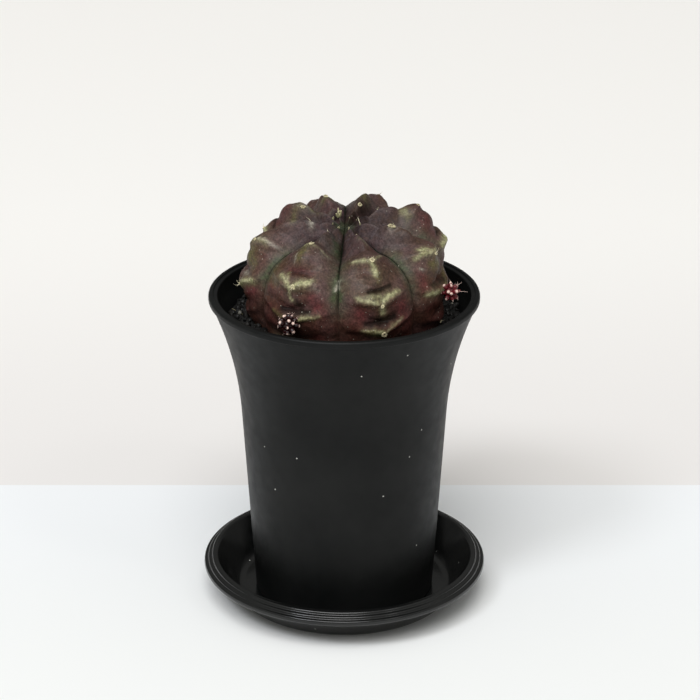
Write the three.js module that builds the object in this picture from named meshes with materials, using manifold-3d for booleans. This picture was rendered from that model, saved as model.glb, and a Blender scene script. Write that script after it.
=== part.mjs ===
// Potted round cactus: a ribbed, globe-shaped plant with two small offsets on its side,
// rooted in dark potting mix in a tall black nursery pot with a flared rim. The pot
// stands in a round black saucer.
//
// Millimetres, +Z up. The origin is the centre of the saucer's underside. +X is to the
// right and -Y is the front, where the plant leans a little.

import * as THREE from 'three';
import { mergeVertices } from 'three/addons/utils/BufferGeometryUtils.js';
import Module from 'manifold-3d';

const wasm = await Module();
wasm.setup();

// ---------------------------------------------------------------- driving dimensions

const GAP = 0.3;              // clearance between pieces that touch
const ROUND_FACETS = 48;      // facets round the pot and the saucer

// Saucer: outer rim 80.6 across and 11.4 high, with three ridges on the sloping rim
const SAUCER_RIM_R = 40.3;
const SAUCER_RIM_EDGE_Z = 9.0;
const SAUCER_LIP_R = 36.7;
const SAUCER_HEIGHT = 11.4;
const SAUCER_FOOT_R = 30.2;
const SAUCER_FLOOR = 1.2;     // thickness of the floor
const SAUCER_RIDGES = 3;

// Pot: outer rim 75 across, a slow taper below and an arc that flares it above
const POT_BASE_Z = SAUCER_FLOOR + GAP;
const POT_TOP_Z = 91.2;
const POT_RIM_R = 37.5;
const POT_RIM_HEIGHT = 1.9;   // height of the bead round the rim
const POT_LAND_R = 36.2;      // where the rim steps down to its inner ledge
const POT_LEDGE_R = 35.0;
const POT_LEDGE_DROP = 0.4;
const POT_TAPER = 0.0625;     // growth of the radius per mm of height
const POT_TAPER_R = 25.3;     // radius that the taper starts from, at height 0
const POT_FLARE_Z = 56;       // where the flare begins
const POT_FLARE_ARC = 98;     // radius of the flare's arc, seen from the side
const POT_FLARE_STEPS = 4;
const POT_WALL = 1.3;
const POT_FLOOR_Z = 3.3;      // underside of the floor, above the foot ring
const POT_FLOOR = 1.4;
const POT_HOLE_R = 5;         // drain hole in the middle of the floor
const SLOT_ANGLES = [-27, 93, 213];   // drain slots in the foot, from the front
const SLOT_WIDTH = 9.6;
const SLOT_HEIGHT = 7.5;
const SLOT_REACH = 8;         // how far a slot runs in under the pot

// Potting mix
const SOIL_Z = 83.6;
const SOIL_GRAIN = 0.75;      // height of the uneven grains
const SOIL_HEAP = 1.6;        // mix heaped against the plant on its left
const SOIL_HEAP_ANGLE = -75;
const SOIL_HEAP_SPREAD = 30;  // how far round the heap fades, in degrees
const SOIL_COLUMNS = 56;
const SOIL_RINGS = [0.12, 0.34, 0.56, 0.78, 1];   // shares of the way in from the pot's wall
const SOIL_SIDE_GAP = 0.4;
const SOIL_SEED = 11;

// Plant: the line of a rib's crest from the growing point down to the root's tip,
// as [radius, height], before the plant's lean
const CREST_LINE = [
  [0, 111.0], [7.4, 112.8], [15.2, 113.0], [21.6, 110.2], [26.2, 103.8], [27.9, 95.8],
  [27.2, 88.1], [25.0, 79.5], [20.5, 72.5], [13.5, 68.0], [7.0, 64.5], [3.4, 59.5],
  [2.0, 53.0], [0, 47.0],
];

// Ribs, counted round to the right from the one at the front right: the crest's angle
// from the front, how far the rib stands above the crest line at its shoulder, flank
// and foot, and how far along the crest each spine cushion sits
const RIBS = [
  { angle: 18.7, stands: [-0.8, 0.0, 0.0], cushions: [4.0, 10.5, 22.0, 33.2, 41.0, 49.5] },
  { angle: 66.4, stands: [-0.6, -0.3, -1.2], cushions: [5.0, 14.5, 27.3, 37.9, 47.5, 56.5] },
  { angle: 108.1, stands: [0.4, 0.6, -2.6], cushions: [3.8, 10.0, 20.5, 33.1, 43.5, 53.0] },
  { angle: 154.4, stands: [0.1, -2.4, -0.6], cushions: [3.5, 9.6, 22.5, 34.0, 44.0, 53.0] },
  { angle: 200.3, stands: [-0.6, -1.3, -0.3], cushions: [4.5, 14.4, 26.0, 37.5, 47.0, 56.0] },
  { angle: 239.8, stands: [1.1, -1.9, -0.5], cushions: [4.0, 13.4, 29.0, 40.0, 49.0, 57.5] },
  { angle: 274.7, stands: [0.0, -0.2, -0.4], cushions: [3.5, 9.6, 26.0, 38.0, 47.0, 56.0] },
  { angle: 327.1, stands: [-0.5, 0.0, -0.3], cushions: [3.2, 8.5, 17.2, 29.6, 38.2, 48.5] },
];
const GROOVES = [-5.5, 44, 87, 131, 179, 220, 257, 297.5, 354.5];   // one on each side of a rib
const GROOVE_SHARES = [1, 1, 1, 1, 0.5, 1, 1, 1, 1];                // the one at the back is shallow
const STANDS_AT = [0, 14, 28, 46, 60, 70];       // where along the crest those heights hold

// Along the crest, as [distance, value]: depth of the grooves, height of the bulge below
// each cushion, and how far a bulge's ends stand higher up than its middle
const GROOVE_DEPTH = [[0, 0], [3, 0.8], [8, 3.2], [14, 4.6], [22, 4.2], [30, 3.2], [38, 2.4],
  [46, 2.0], [56, 1.6], [66, 0.8], [75, 0]];
const BULGE_HEIGHT = [[0, 0.2], [6, 0.6], [12, 1.2], [18, 1.8], [26, 2.0], [34, 1.7],
  [42, 1.4], [50, 1.1], [56, 0.6], [62, 0]];
const BULGE_VEE = [[0, 0], [4, 1.0], [10, 2.6], [58, 2.6], [66, 0]];
const CREASE_SHARE = 0.43;    // a crease lies this share of the way up to the next cushion
const LAST_CREASE = 5.5;      // distance from the last cushion to the crease below it
const CREST_SHARPNESS = 1.4;  // tent-like section near the top
const FLANK_ROUNDNESS = 2.4;  // full, rounded section lower down
const SECTION_CHANGE = [12, 36];

// Lean of the plant about the point where it leaves the mix
const LEAN_FORWARD = 7.4;
const LEAN_LEFT = 2.6;
const STEM_X = 1.35;
const STEM_Y = 0.15;
const STEM_Z = 84;

const CUSHION_R = 0.85;
const CUSHION_FLATNESS = 0.85;
const CUSHION_SUNK = 0.3;     // depth of a cushion's middle under the skin
const SPINES = 2;             // on each cushion
const SPINE_SPREAD = 1.5;     // sideways lean between one spine and the next, as a slope
const SPINE_LIFT = 0.25;      // upward lean, as a slope
const SPINE_DISORDER = 0.7;
const SPINE_R = 0.24;
const SPINE_LENGTH = [1.8, 3.0];
const SPINE_SEED = 5;
const BURIED_BELOW = 86;      // cushions lower than this carry no spines

// Offsets: small heads that grow from a cushion, by rib and cushion number
const OFFSETS = [
  { name: 'offset_front_left', rib: 7, cushion: 4, radius: 3.0, out: 2.5, tubercles: 19 },
  { name: 'offset_right', rib: 1, cushion: 3, radius: 2.8, out: 2.3, tubercles: 17 },
];

const OFFSET_CORE = 0.66;     // radius of the core and of a tubercle, as shares of the head's
const TUBERCLE_R = 0.24;

// ---------------------------------------------------------------- materials

const blackPlastic = new THREE.MeshStandardMaterial({ color: '#202223', roughness: 0.55, metalness: 0 });
const saucerPlastic = new THREE.MeshStandardMaterial({ color: '#1e2021', roughness: 0.42, metalness: 0 });
const pottingMix = new THREE.MeshStandardMaterial({ color: '#1b1815', roughness: 0.95, metalness: 0 });
const cactusSkin = new THREE.MeshStandardMaterial({ color: '#5a3f3f', roughness: 0.5, metalness: 0 });
const offsetSkin = new THREE.MeshStandardMaterial({ color: '#7a2228', roughness: 0.5, metalness: 0 });

// ---------------------------------------------------------------- helpers

const radians = THREE.MathUtils.degToRad;
const lerp = THREE.MathUtils.lerp;

// Value of a [distance, value] table at a distance
function along(table, distance) {
  if (distance <= table[0][0]) return table[0][1];
  for (let i = 1; i < table.length; i += 1) {
    const [d0, v0] = table[i - 1];
    const [d1, v1] = table[i];
    if (distance <= d1) return lerp(v0, v1, (distance - d0) / (d1 - d0));
  }
  return table[table.length - 1][1];
}

// Repeatable random numbers from 0 to 1
function randomFrom(seed) {
  let state = seed;
  return () => {
    state = (state + 0x6d2b79f5) | 0;
    let t = Math.imul(state ^ (state >>> 15), 1 | state);
    t = (t + Math.imul(t ^ (t >>> 7), 61 | t)) ^ t;
    return ((t ^ (t >>> 14)) >>> 0) / 4294967296;
  };
}

// Closed body from rings of equal length, the lowest first, each counted anticlockwise
// from above, with a point that closes each end
function closedSkin(rings, firstPoint, lastPoint) {
  const count = rings[0].length;
  const positions = [...firstPoint, ...rings.flat(2), ...lastPoint];
  const last = positions.length / 3 - 1;
  const index = [];
  for (let i = 0; i < count; i += 1) {
    const next = (i + 1) % count;
    index.push(0, 1 + next, 1 + i);
    for (let r = 0; r + 1 < rings.length; r += 1) {
      const a = 1 + r * count + i;
      const b = 1 + r * count + next;
      index.push(a, b, a + count, b, b + count, a + count);
    }
    const end = 1 + (rings.length - 1) * count;
    index.push(last, end + i, end + next);
  }
  const geometry = new THREE.BufferGeometry();
  geometry.setAttribute('position', new THREE.Float32BufferAttribute(positions, 3));
  geometry.setIndex(index);
  return geometry;
}

// Solid of revolution about Z from a closed [radius, height] outline
function revolved(outline) {
  const points = outline.map(([r, z]) => new THREE.Vector2(r, z));
  return new THREE.LatheGeometry(points, ROUND_FACETS).rotateX(Math.PI / 2);
}

function toSolid(geometry) {
  const bare = geometry.clone();
  bare.deleteAttribute('normal');
  bare.deleteAttribute('uv');
  const merged = mergeVertices(bare, 1e-4);
  return new wasm.Manifold(new wasm.Mesh({
    numProp: 3,
    vertProperties: new Float32Array(merged.attributes.position.array),
    triVerts: new Uint32Array(merged.index.array),
  }));
}

function fromSolid(solid) {
  const mesh = solid.getMesh();
  const geometry = new THREE.BufferGeometry();
  geometry.setAttribute('position', new THREE.BufferAttribute(new Float32Array(mesh.vertProperties), 3));
  geometry.setIndex(new THREE.BufferAttribute(new Uint32Array(mesh.triVerts), 1));
  return geometry;
}

function namedMesh(name, geometry, material) {
  geometry.computeVertexNormals();
  const mesh = new THREE.Mesh(geometry, material);
  mesh.name = name;
  return mesh;
}

// Turns +Z of a small piece to a direction and moves it to a point
function aimed(geometry, point, direction) {
  const turn = new THREE.Quaternion().setFromUnitVectors(new THREE.Vector3(0, 0, 1), direction);
  return geometry.applyQuaternion(turn).translate(point.x, point.y, point.z);
}

// ---------------------------------------------------------------- saucer

function saucerGeometry() {
  const rimRun = SAUCER_RIM_R - SAUCER_LIP_R;
  const rimFall = SAUCER_HEIGHT - SAUCER_RIM_EDGE_Z;
  const rim = [];
  for (let i = 0; i < SAUCER_RIDGES; i += 1) {
    const t = (i + 0.35) / (SAUCER_RIDGES + 0.6);
    const r = SAUCER_RIM_R - t * rimRun;
    const z = SAUCER_RIM_EDGE_Z + t * rimFall;
    rim.push([r, z + 0.18], [r - 0.45, z + 0.12]);
  }
  return revolved([
    [0, 0],
    [SAUCER_FOOT_R, 0],
    [SAUCER_FOOT_R + 1.4, 0.9],
    [SAUCER_LIP_R + 0.4, SAUCER_RIM_EDGE_Z - 0.4],
    [SAUCER_RIM_R - 0.4, SAUCER_RIM_EDGE_Z - 0.9],
    [SAUCER_RIM_R, SAUCER_RIM_EDGE_Z - 0.5],
    [SAUCER_RIM_R, SAUCER_RIM_EDGE_Z],
    ...rim,
    [SAUCER_LIP_R + 0.5, SAUCER_HEIGHT - 0.05],
    [SAUCER_LIP_R, SAUCER_HEIGHT],
    [SAUCER_LIP_R - 0.4, SAUCER_HEIGHT - 0.4],
    [SAUCER_FOOT_R + 1.1, SAUCER_FLOOR + 1.3],
    [SAUCER_FOOT_R + 0.1, SAUCER_FLOOR + 0.25],
    [SAUCER_FOOT_R - 1.2, SAUCER_FLOOR],
    [0, SAUCER_FLOOR],
  ]);
}

// ---------------------------------------------------------------- pot

// Outer radius of the pot's wall at a height
function potRadius(z) {
  if (z <= POT_FLARE_Z) return POT_TAPER_R + POT_TAPER * z;
  const start = Math.atan(POT_TAPER);
  const turned = Math.asin(Math.sin(start) + (z - POT_FLARE_Z) / POT_FLARE_ARC);
  const flareStart = POT_TAPER_R + POT_TAPER * POT_FLARE_Z;
  return flareStart + POT_FLARE_ARC * (Math.cos(start) - Math.cos(turned));
}

// [radius, height] points up the wall's arc, moved in by an amount
function flareLine(topZ, inward) {
  const points = [];
  for (let i = 0; i <= POT_FLARE_STEPS; i += 1) {
    const z = lerp(POT_FLARE_Z, topZ, i / POT_FLARE_STEPS);
    points.push([potRadius(z) - inward, z]);
  }
  return points;
}

function potGeometry() {
  const beadZ = POT_TOP_Z - POT_RIM_HEIGHT;
  const floorTop = POT_FLOOR_Z + POT_FLOOR;
  const ledgeZ = POT_TOP_Z - POT_LEDGE_DROP;
  const shell = toSolid(revolved([
    [POT_HOLE_R, POT_FLOOR_Z],
    [potRadius(POT_FLOOR_Z) - POT_WALL, POT_FLOOR_Z],
    [potRadius(POT_BASE_Z) - POT_WALL, POT_BASE_Z],
    [potRadius(POT_BASE_Z) - 0.3, POT_BASE_Z],
    [potRadius(POT_BASE_Z + 0.3), POT_BASE_Z + 0.3],
    ...flareLine(beadZ, 0),
    [POT_RIM_R - 0.15, beadZ + 0.1],
    [POT_RIM_R, beadZ + 0.4],
    [POT_RIM_R, POT_TOP_Z - 0.5],
    [POT_RIM_R - 0.4, POT_TOP_Z],
    [POT_LAND_R, POT_TOP_Z],
    [POT_LAND_R - 0.1, ledgeZ],
    [POT_LEDGE_R, ledgeZ],
    ...flareLine(beadZ - 2, POT_WALL).reverse(),
    [potRadius(floorTop + 1) - POT_WALL, floorTop + 1],
    [potRadius(floorTop) - POT_WALL - 1, floorTop],
    [POT_HOLE_R, floorTop],
    [POT_HOLE_R, POT_FLOOR_Z],
  ]));
  return fromSolid(SLOT_ANGLES.reduce((pot, angle) => pot.subtract(toSolid(slotGeometry(angle))), shell));
}

// Arched drain slot through the foot and the edge of the floor
function slotGeometry(angle) {
  const half = SLOT_WIDTH / 2;
  const springing = SLOT_HEIGHT - half;
  const arch = new THREE.Shape();
  arch.moveTo(-half, -1);
  arch.lineTo(half, -1);
  arch.lineTo(half, springing);
  arch.absarc(0, springing, half, 0, Math.PI, false);
  const cut = { depth: SLOT_REACH + 2, bevelEnabled: false, curveSegments: 8 };
  const block = new THREE.ExtrudeGeometry(arch, cut).rotateX(Math.PI / 2);
  block.translate(0, -(POT_TAPER_R - SLOT_REACH), POT_BASE_Z);
  return block.rotateZ(radians(angle));
}

// ---------------------------------------------------------------- plant

const crestCurve = new THREE.SplineCurve(CREST_LINE.map(([r, z]) => new THREE.Vector2(r, z)));
crestCurve.arcLengthDivisions = 700;
const CREST_LENGTH = crestCurve.getLength();

// Distances along a rib's crest of the growing point, each crease and the root's tip
function creaseStops({ cushions }) {
  const stops = [0];
  cushions.forEach((distance, i) => {
    const above = i ? cushions[i - 1] : 0;
    stops.push(distance - CREASE_SHARE * (distance - above));
  });
  stops.push(cushions[cushions.length - 1] + LAST_CREASE, CREST_LENGTH);
  return stops;
}
const STOPS = RIBS.map(creaseStops);
const LAST_ROW = STOPS[0].length - 1;

// Distance along a rib's crest for a row number: whole numbers are creases
function rowDistance(rib, row) {
  const from = Math.min(Math.floor(row), LAST_ROW - 1);
  return lerp(STOPS[rib][from], STOPS[rib][from + 1], row - from);
}

// Row number of one of a rib's cushions
function cushionRow(rib, cushion) {
  const distance = RIBS[rib].cushions[cushion];
  const from = STOPS[rib][cushion + 1];
  return cushion + 1 + (distance - from) / (STOPS[rib][cushion + 2] - from);
}

function leaned(x, y, z) {
  const point = new THREE.Vector3(x, y, z - STEM_Z);
  point.applyAxisAngle(new THREE.Vector3(1, 0, 0), radians(LEAN_FORWARD));
  point.applyAxisAngle(new THREE.Vector3(0, 1, 0), radians(-LEAN_LEFT));
  return point.add(new THREE.Vector3(STEM_X, STEM_Y, STEM_Z));
}

// Point on the plant's skin. across runs from -1 in the groove before a rib's crest to
// 1 in the groove after it. A plain skin has neither grooves nor bulges between them.
function skinPoint(rib, across, row, { outward = 0, plain = false } = {}) {
  const near = Math.abs(across);
  const neighbour = (rib + (across < 0 ? -1 : 1) + RIBS.length) % RIBS.length;
  const share = 0.5 * near * near;
  const level = lerp(rowDistance(rib, row), rowDistance(neighbour, row), share);
  const distance = Math.max(level - near * along(BULGE_VEE, level), 0);

  const standing = (which) => along(STANDS_AT.map((at, i) => [
    at, [0, ...RIBS[which].stands, RIBS[which].stands[2], 0][i],
  ]), distance);
  let height = lerp(standing(rib), standing(neighbour), share) + outward;

  if (plain) {
    height += along(BULGE_HEIGHT, distance);
  } else {
    const rounding = THREE.MathUtils.smoothstep(distance, ...SECTION_CHANGE);
    const tent = 1 - near ** CREST_SHARPNESS;
    const full = Math.sqrt(Math.max(1 - near ** FLANK_ROUNDNESS, 0));
    const deep = along(GROOVE_DEPTH, distance) * GROOVE_SHARES[across < 0 ? rib : rib + 1];
    height -= deep * (1 - lerp(tent, full, rounding));
    const bulge = row < 1 || row > LAST_ROW - 1 ? 0 : Math.abs(Math.sin(Math.PI * row)) ** 0.8;
    height += along(BULGE_HEIGHT, distance) * bulge * (1 - near * near) ** 2.2;
  }

  const t = THREE.MathUtils.clamp(distance / CREST_LENGTH, 0, 1);
  const line = crestCurve.getPointAt(t);
  const direction = crestCurve.getTangentAt(t);
  const radius = Math.max(line.x - direction.y * height, 0);
  const z = line.y + direction.x * height;

  const groove = across < 0 ? GROOVES[rib] : GROOVES[rib + 1];
  const angle = radians(lerp(RIBS[rib].angle, groove, near));
  return leaned(radius * Math.sin(angle), -radius * Math.cos(angle), z);
}

// Outward direction of the skin
function skinNormal(rib, across, row) {
  const side = skinPoint(rib, across + 0.1, row).sub(skinPoint(rib, across - 0.1, row));
  const down = skinPoint(rib, across, row + 0.12).sub(skinPoint(rib, across, row - 0.12));
  return down.cross(side).normalize();
}

const SKIN_COLUMNS = [-1, -0.88, -0.58, -0.27, 0, 0.27, 0.58, 0.88];
const BULGE_ROWS = [0, 0.16, 0.5, 0.84];
const ROOT_ROWS = [0, 0.12, 0.27, 0.44, 0.6, 0.8];

function skinGeometry(outward = 0) {
  const rows = [0.5];
  for (let i = 1; i < LAST_ROW - 1; i += 1) rows.push(...BULGE_ROWS.map((step) => i + step));
  rows.push(...ROOT_ROWS.map((step) => LAST_ROW - 1 + step));
  rows.reverse();
  const rings = rows.map((row) => RIBS.flatMap((_, rib) => SKIN_COLUMNS.map(
    (across) => skinPoint(rib, across, row, { outward }).toArray(),
  )));
  const top = leaned(0, 0, CREST_LINE[0][1] + outward).toArray();
  const tip = leaned(0, 0, CREST_LINE[CREST_LINE.length - 1][1] - outward).toArray();
  return closedSkin(rings, tip, top);
}

// Woolly cushion with its spines, which lean away from each other
function cushionSolids(rib, cushion, random) {
  const row = cushionRow(rib, cushion);
  const point = skinPoint(rib, 0, row);
  const out = skinNormal(rib, 0, row);
  const up = new THREE.Vector3(0, 0, 1);
  const side = new THREE.Vector3().crossVectors(up, out).normalize();
  const above = new THREE.Vector3().crossVectors(out, side);
  const size = CUSHION_R * lerp(0.75, 1, Math.min(row / 3, 1));
  const pad = new THREE.IcosahedronGeometry(size, 0).scale(1, 1, CUSHION_FLATNESS);
  const root = point.clone().addScaledVector(out, -CUSHION_SUNK);
  const pieces = [toSolid(aimed(pad, root, out))];
  for (let i = 0; i < SPINES; i += 1) {
    const spread = (i - (SPINES - 1) / 2) * SPINE_SPREAD + (random() - 0.5) * SPINE_DISORDER;
    const lift = SPINE_LIFT + (random() - 0.5) * SPINE_DISORDER;
    const direction = out.clone().addScaledVector(side, spread).addScaledVector(above, lift);
    direction.normalize();
    const length = lerp(...SPINE_LENGTH, random());
    const spine = new THREE.ConeGeometry(SPINE_R, length, 3).rotateX(Math.PI / 2);
    const middle = root.clone().addScaledVector(direction, length / 2);
    pieces.push(toSolid(aimed(spine, middle, direction)));
  }
  return pieces;
}

function carriesOffset(rib, cushion) {
  return OFFSETS.some((offset) => offset.rib === rib && offset.cushion === cushion);
}

function plantGeometry() {
  const random = randomFrom(SPINE_SEED);
  let plant = toSolid(skinGeometry());
  RIBS.forEach(({ cushions }, rib) => cushions.forEach((_, cushion) => {
    const buried = skinPoint(rib, 0, cushionRow(rib, cushion)).z < BURIED_BELOW;
    if (buried || carriesOffset(rib, cushion)) return;
    for (const piece of cushionSolids(rib, cushion, random)) plant = plant.add(piece);
  }));
  return fromSolid(plant);
}

// ---------------------------------------------------------------- offsets

// A small round head covered with tubercles on an even spiral, cut to the parent's skin
function offsetGeometry({ rib, cushion, radius, out, tubercles }) {
  const row = cushionRow(rib, cushion);
  const normal = skinNormal(rib, 0, row);
  const centre = skinPoint(rib, 0, row).addScaledVector(normal, out);
  const core = radius * OFFSET_CORE;
  let head = toSolid(new THREE.IcosahedronGeometry(core, 1));
  const goldenTurn = Math.PI * (3 - Math.sqrt(5));
  for (let i = 0; i < tubercles; i += 1) {
    const z = 1 - (2 * (i + 0.5)) / tubercles;
    const around = Math.sqrt(1 - z * z);
    const turn = i * goldenTurn;
    const direction = new THREE.Vector3(around * Math.cos(turn), around * Math.sin(turn), z);
    const tubercle = new THREE.OctahedronGeometry(radius * TUBERCLE_R, 0).scale(1, 1, 1.4);
    const middle = direction.clone().multiplyScalar(core);
    head = head.add(toSolid(aimed(tubercle, middle, direction)));
  }
  const upright = new THREE.Quaternion().setFromUnitVectors(new THREE.Vector3(0, 0, 1), normal);
  const placed = fromSolid(head).applyQuaternion(upright).translate(centre.x, centre.y, centre.z);
  return fromSolid(toSolid(placed).subtract(toSolid(skinGeometry(GAP + 0.05))));
}

// ---------------------------------------------------------------- potting mix

// Rib and position across it at an angle from the front
function ribAt(angle) {
  const turned = THREE.MathUtils.euclideanModulo(angle - GROOVES[0], 360) + GROOVES[0];
  const rib = RIBS.findIndex((_, i) => turned < GROOVES[i + 1]);
  const crest = RIBS[rib].angle;
  const groove = turned < crest ? GROOVES[rib] : GROOVES[rib + 1];
  return { rib, across: Math.sign(turned - crest) * ((turned - crest) / (groove - crest)) };
}

// Point on the wall of the hole that the plant stands in
function holePoint(angle, row) {
  const { rib, across } = ribAt(angle);
  return skinPoint(rib, across, row, { outward: GAP + 0.15, plain: true });
}

// Row where the hole's wall comes up to a height
function holeRowAt(angle, z) {
  let [high, low] = [4, LAST_ROW - 0.5];
  for (let i = 0; i < 30; i += 1) {
    const middle = (high + low) / 2;
    if (holePoint(angle, middle).z > z) high = middle;
    else low = middle;
  }
  return (high + low) / 2;
}

function soilGeometry() {
  const random = randomFrom(SOIL_SEED);
  const angles = Array.from({ length: SOIL_COLUMNS }, (_, i) => (360 * i) / SOIL_COLUMNS);
  const inside = (z) => potRadius(z) - POT_WALL - SOIL_SIDE_GAP;
  const bottom = POT_FLOOR_Z + POT_FLOOR + GAP;
  const wallLine = [[inside(bottom) - 1.2, bottom], [inside(bottom + 1.2), bottom + 1.2],
    ...flareLine(SOIL_Z - 1.2, POT_WALL + SOIL_SIDE_GAP)];
  const rings = wallLine.map(([r, z]) => angles.map((angle) => [
    r * Math.sin(radians(angle)), -r * Math.cos(radians(angle)), z,
  ]));

  const surface = SOIL_RINGS.map((inward) => angles.map((angle) => {
    const turn = ((angle - SOIL_HEAP_ANGLE + 540) % 360) - 180;
    const heap = SOIL_HEAP * Math.exp(-0.5 * (turn / SOIL_HEAP_SPREAD) ** 2);
    const z = SOIL_Z + heap * inward + SOIL_GRAIN * (random() - 0.5) * 2;
    const edge = holePoint(angle, holeRowAt(angle, z));
    const outer = inside(SOIL_Z - 1.2);
    return [
      lerp(outer * Math.sin(radians(angle)), edge.x, inward),
      lerp(-outer * Math.cos(radians(angle)), edge.y, inward),
      z,
    ];
  }));

  const rootRow = LAST_ROW - 1;
  const topRows = angles.map((angle, i) => holeRowAt(angle, surface[SOIL_RINGS.length - 1][i][2]));
  const hole = [-0.67, -0.33, ...ROOT_ROWS, 1].map((step) => angles.map((angle, i) => {
    const row = step < 0 ? lerp(rootRow, topRows[i], -step) : rootRow + step;
    return holePoint(angle, row).toArray();
  }));
  const tip = leaned(0, 0, CREST_LINE[CREST_LINE.length - 1][1] - 2 * GAP).toArray();
  return closedSkin([...rings, ...surface, ...hole], [0, 0, bottom], tip);
}

// ---------------------------------------------------------------- the potted plant

const group = new THREE.Group();
group.add(
  namedMesh('saucer', saucerGeometry(), saucerPlastic),
  namedMesh('pot', potGeometry(), blackPlastic),
  namedMesh('soil', soilGeometry(), pottingMix),
  namedMesh('cactus_body', plantGeometry(), cactusSkin),
  ...OFFSETS.map((offset) => namedMesh(offset.name, offsetGeometry(offset), offsetSkin)),
);

export default group;
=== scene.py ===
# Potted round cactus: the finished surfaces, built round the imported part.
# The file is laid out as an add-on and runs as a script. Lengths in the tables below are
# millimetres, +Z up and -Y to the front; the meshes and the properties are in metres.

import math

import bpy
import numpy as np
from bpy.props import FloatProperty, FloatVectorProperty, IntProperty, PointerProperty
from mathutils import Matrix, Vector, noise


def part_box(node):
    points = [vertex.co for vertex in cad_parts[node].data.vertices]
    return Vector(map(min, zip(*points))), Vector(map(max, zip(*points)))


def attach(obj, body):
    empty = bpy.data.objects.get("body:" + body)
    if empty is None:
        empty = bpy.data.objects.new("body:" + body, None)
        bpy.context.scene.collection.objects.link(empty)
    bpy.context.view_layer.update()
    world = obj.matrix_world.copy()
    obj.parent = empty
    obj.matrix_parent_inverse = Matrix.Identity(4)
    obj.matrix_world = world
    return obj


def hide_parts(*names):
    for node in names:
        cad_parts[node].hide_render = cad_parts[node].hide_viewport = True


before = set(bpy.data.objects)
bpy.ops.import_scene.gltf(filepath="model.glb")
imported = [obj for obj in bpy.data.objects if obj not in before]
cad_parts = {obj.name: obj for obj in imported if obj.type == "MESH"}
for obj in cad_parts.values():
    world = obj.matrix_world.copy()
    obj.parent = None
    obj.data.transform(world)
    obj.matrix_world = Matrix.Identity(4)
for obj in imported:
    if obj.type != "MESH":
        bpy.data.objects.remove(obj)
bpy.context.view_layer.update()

bl_info = {
    "name": "Potted round cactus",
    "version": (1, 0, 0),
    "blender": (4, 5, 0),
    "location": "3D View > Sidebar > Cactus",
    "description": "Builds a ribbed globe cactus with offsets, in a flared pot on a saucer",
    "category": "Add Mesh",
}

MM = 0.001
BODY = "root"

# ---------------------------------------------------------------- driving dimensions

# Clearance between pieces that stand in one another, points on a rounded corner, facets of a
# turned piece, and the angles in degrees past which edges are drawn sharp
GAP = 0.3
FILLET_STEPS = 5
TURNED_FACETS = 192
SAUCER_SHARP_EDGE = 50
POT_SHARP_EDGE = 40

# Names that end in R are radii, and those that end in Z heights above the table

# Saucer
SAUCER_RIM_EDGE_Z = 9.0
SAUCER_LIP_R = 36.7
SAUCER_FOOT_R = 30.2
SAUCER_FLOOR = 1.2
SAUCER_RIDGES = 3

# Pot: up to POT_FLARE_Z its wall leans out by POT_TAPER for each mm of height, and above that it
# follows an arc
POT_BASE_Z = SAUCER_FLOOR + GAP
POT_RIM_HEIGHT = 1.9
POT_LAND_R = 36.2
POT_LEDGE_R = 35.0
POT_LEDGE_DROP = 0.4
POT_TAPER = 0.0625
POT_TAPER_R = 25.3
POT_FLARE_Z = 56
POT_FLARE_ARC = 98
POT_FLARE_STEPS = 26
POT_WALL = 1.3
POT_FLOOR_Z = 3.3
POT_FLOOR = 1.4
POT_HOLE_R = 5
SLOT_ANGLES = [-27, 93, 213]
SLOT_WIDTH = 9.6
SLOT_HEIGHT = 7.5
SLOT_REACH = 8

# Potting mix: its level, the heap against the plant on the left, the slant at its edges, and the
# grid of its surface
SOIL_Z = 83.6
SOIL_HEAP = 1.6
SOIL_HEAP_ANGLE = -75
SOIL_HEAP_SPREAD = 30
SOIL_SIDE_GAP = 0.4
SOIL_SLANT = 1.2
SOIL_SEED = 11
SOIL_COLUMNS = 224
SOIL_RINGS = 16
SOIL_WALL_ROWS = 12

# Plant: the crest of a rib from the growing point down to the root's tip, [radius, height], with
# CREST_STEPS points in each of its spans
CREST_STEPS = 60
CREST_LINE = [
    [0, 111.0], [7.4, 112.8], [15.2, 113.0], [21.6, 110.2], [26.2, 103.8], [27.9, 95.8],
    [27.2, 88.1], [25.0, 79.5], [20.5, 72.5], [13.5, 68.0], [7.0, 64.5], [3.4, 59.5],
    [2.0, 53.0], [0, 47.0],
]
# Each rib's crest angle from the front, how far it stands above that line at its shoulder,
# flank and foot, and the distances along it of its spine cushions
RIBS = [
    (18.7, [-0.8, 0.0, 0.0], [4.0, 10.5, 22.0, 33.2, 41.0, 49.5]),
    (66.4, [-0.6, -0.3, -1.2], [5.0, 14.5, 27.3, 37.9, 47.5, 56.5]),
    (108.1, [0.4, 0.6, -2.6], [3.8, 10.0, 20.5, 33.1, 43.5, 53.0]),
    (154.4, [0.4, -3.2, -0.6], [3.5, 9.6, 22.5, 34.0, 44.0, 53.0]),
    (200.3, [-0.8, -1.9, -0.6], [4.5, 14.4, 26.0, 37.5, 47.0, 56.0]),
    (239.8, [1.1, -1.9, -0.5], [4.0, 13.4, 29.0, 40.0, 49.0, 57.5]),
    (274.7, [0.0, -0.2, -0.4], [3.5, 9.6, 26.0, 38.0, 47.0, 56.0]),
    (327.1, [-0.5, 0.0, -0.3], [3.2, 8.5, 17.2, 29.6, 38.2, 48.5]),
]
# Angles of the grooves between them, each groove's share of the full depth, and the distances at
# which a crest stands 0, its three numbers, the last of them again, and 0
GROOVES = [-5.5, 44, 87, 131, 179, 220, 257, 297.5, 354.5]
GROOVE_SHARES = np.array([1, 1, 1, 1, 0.5, 1, 1, 1, 1])
STANDS_AT = [0, 14, 28, 46, 60, 70]

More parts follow.
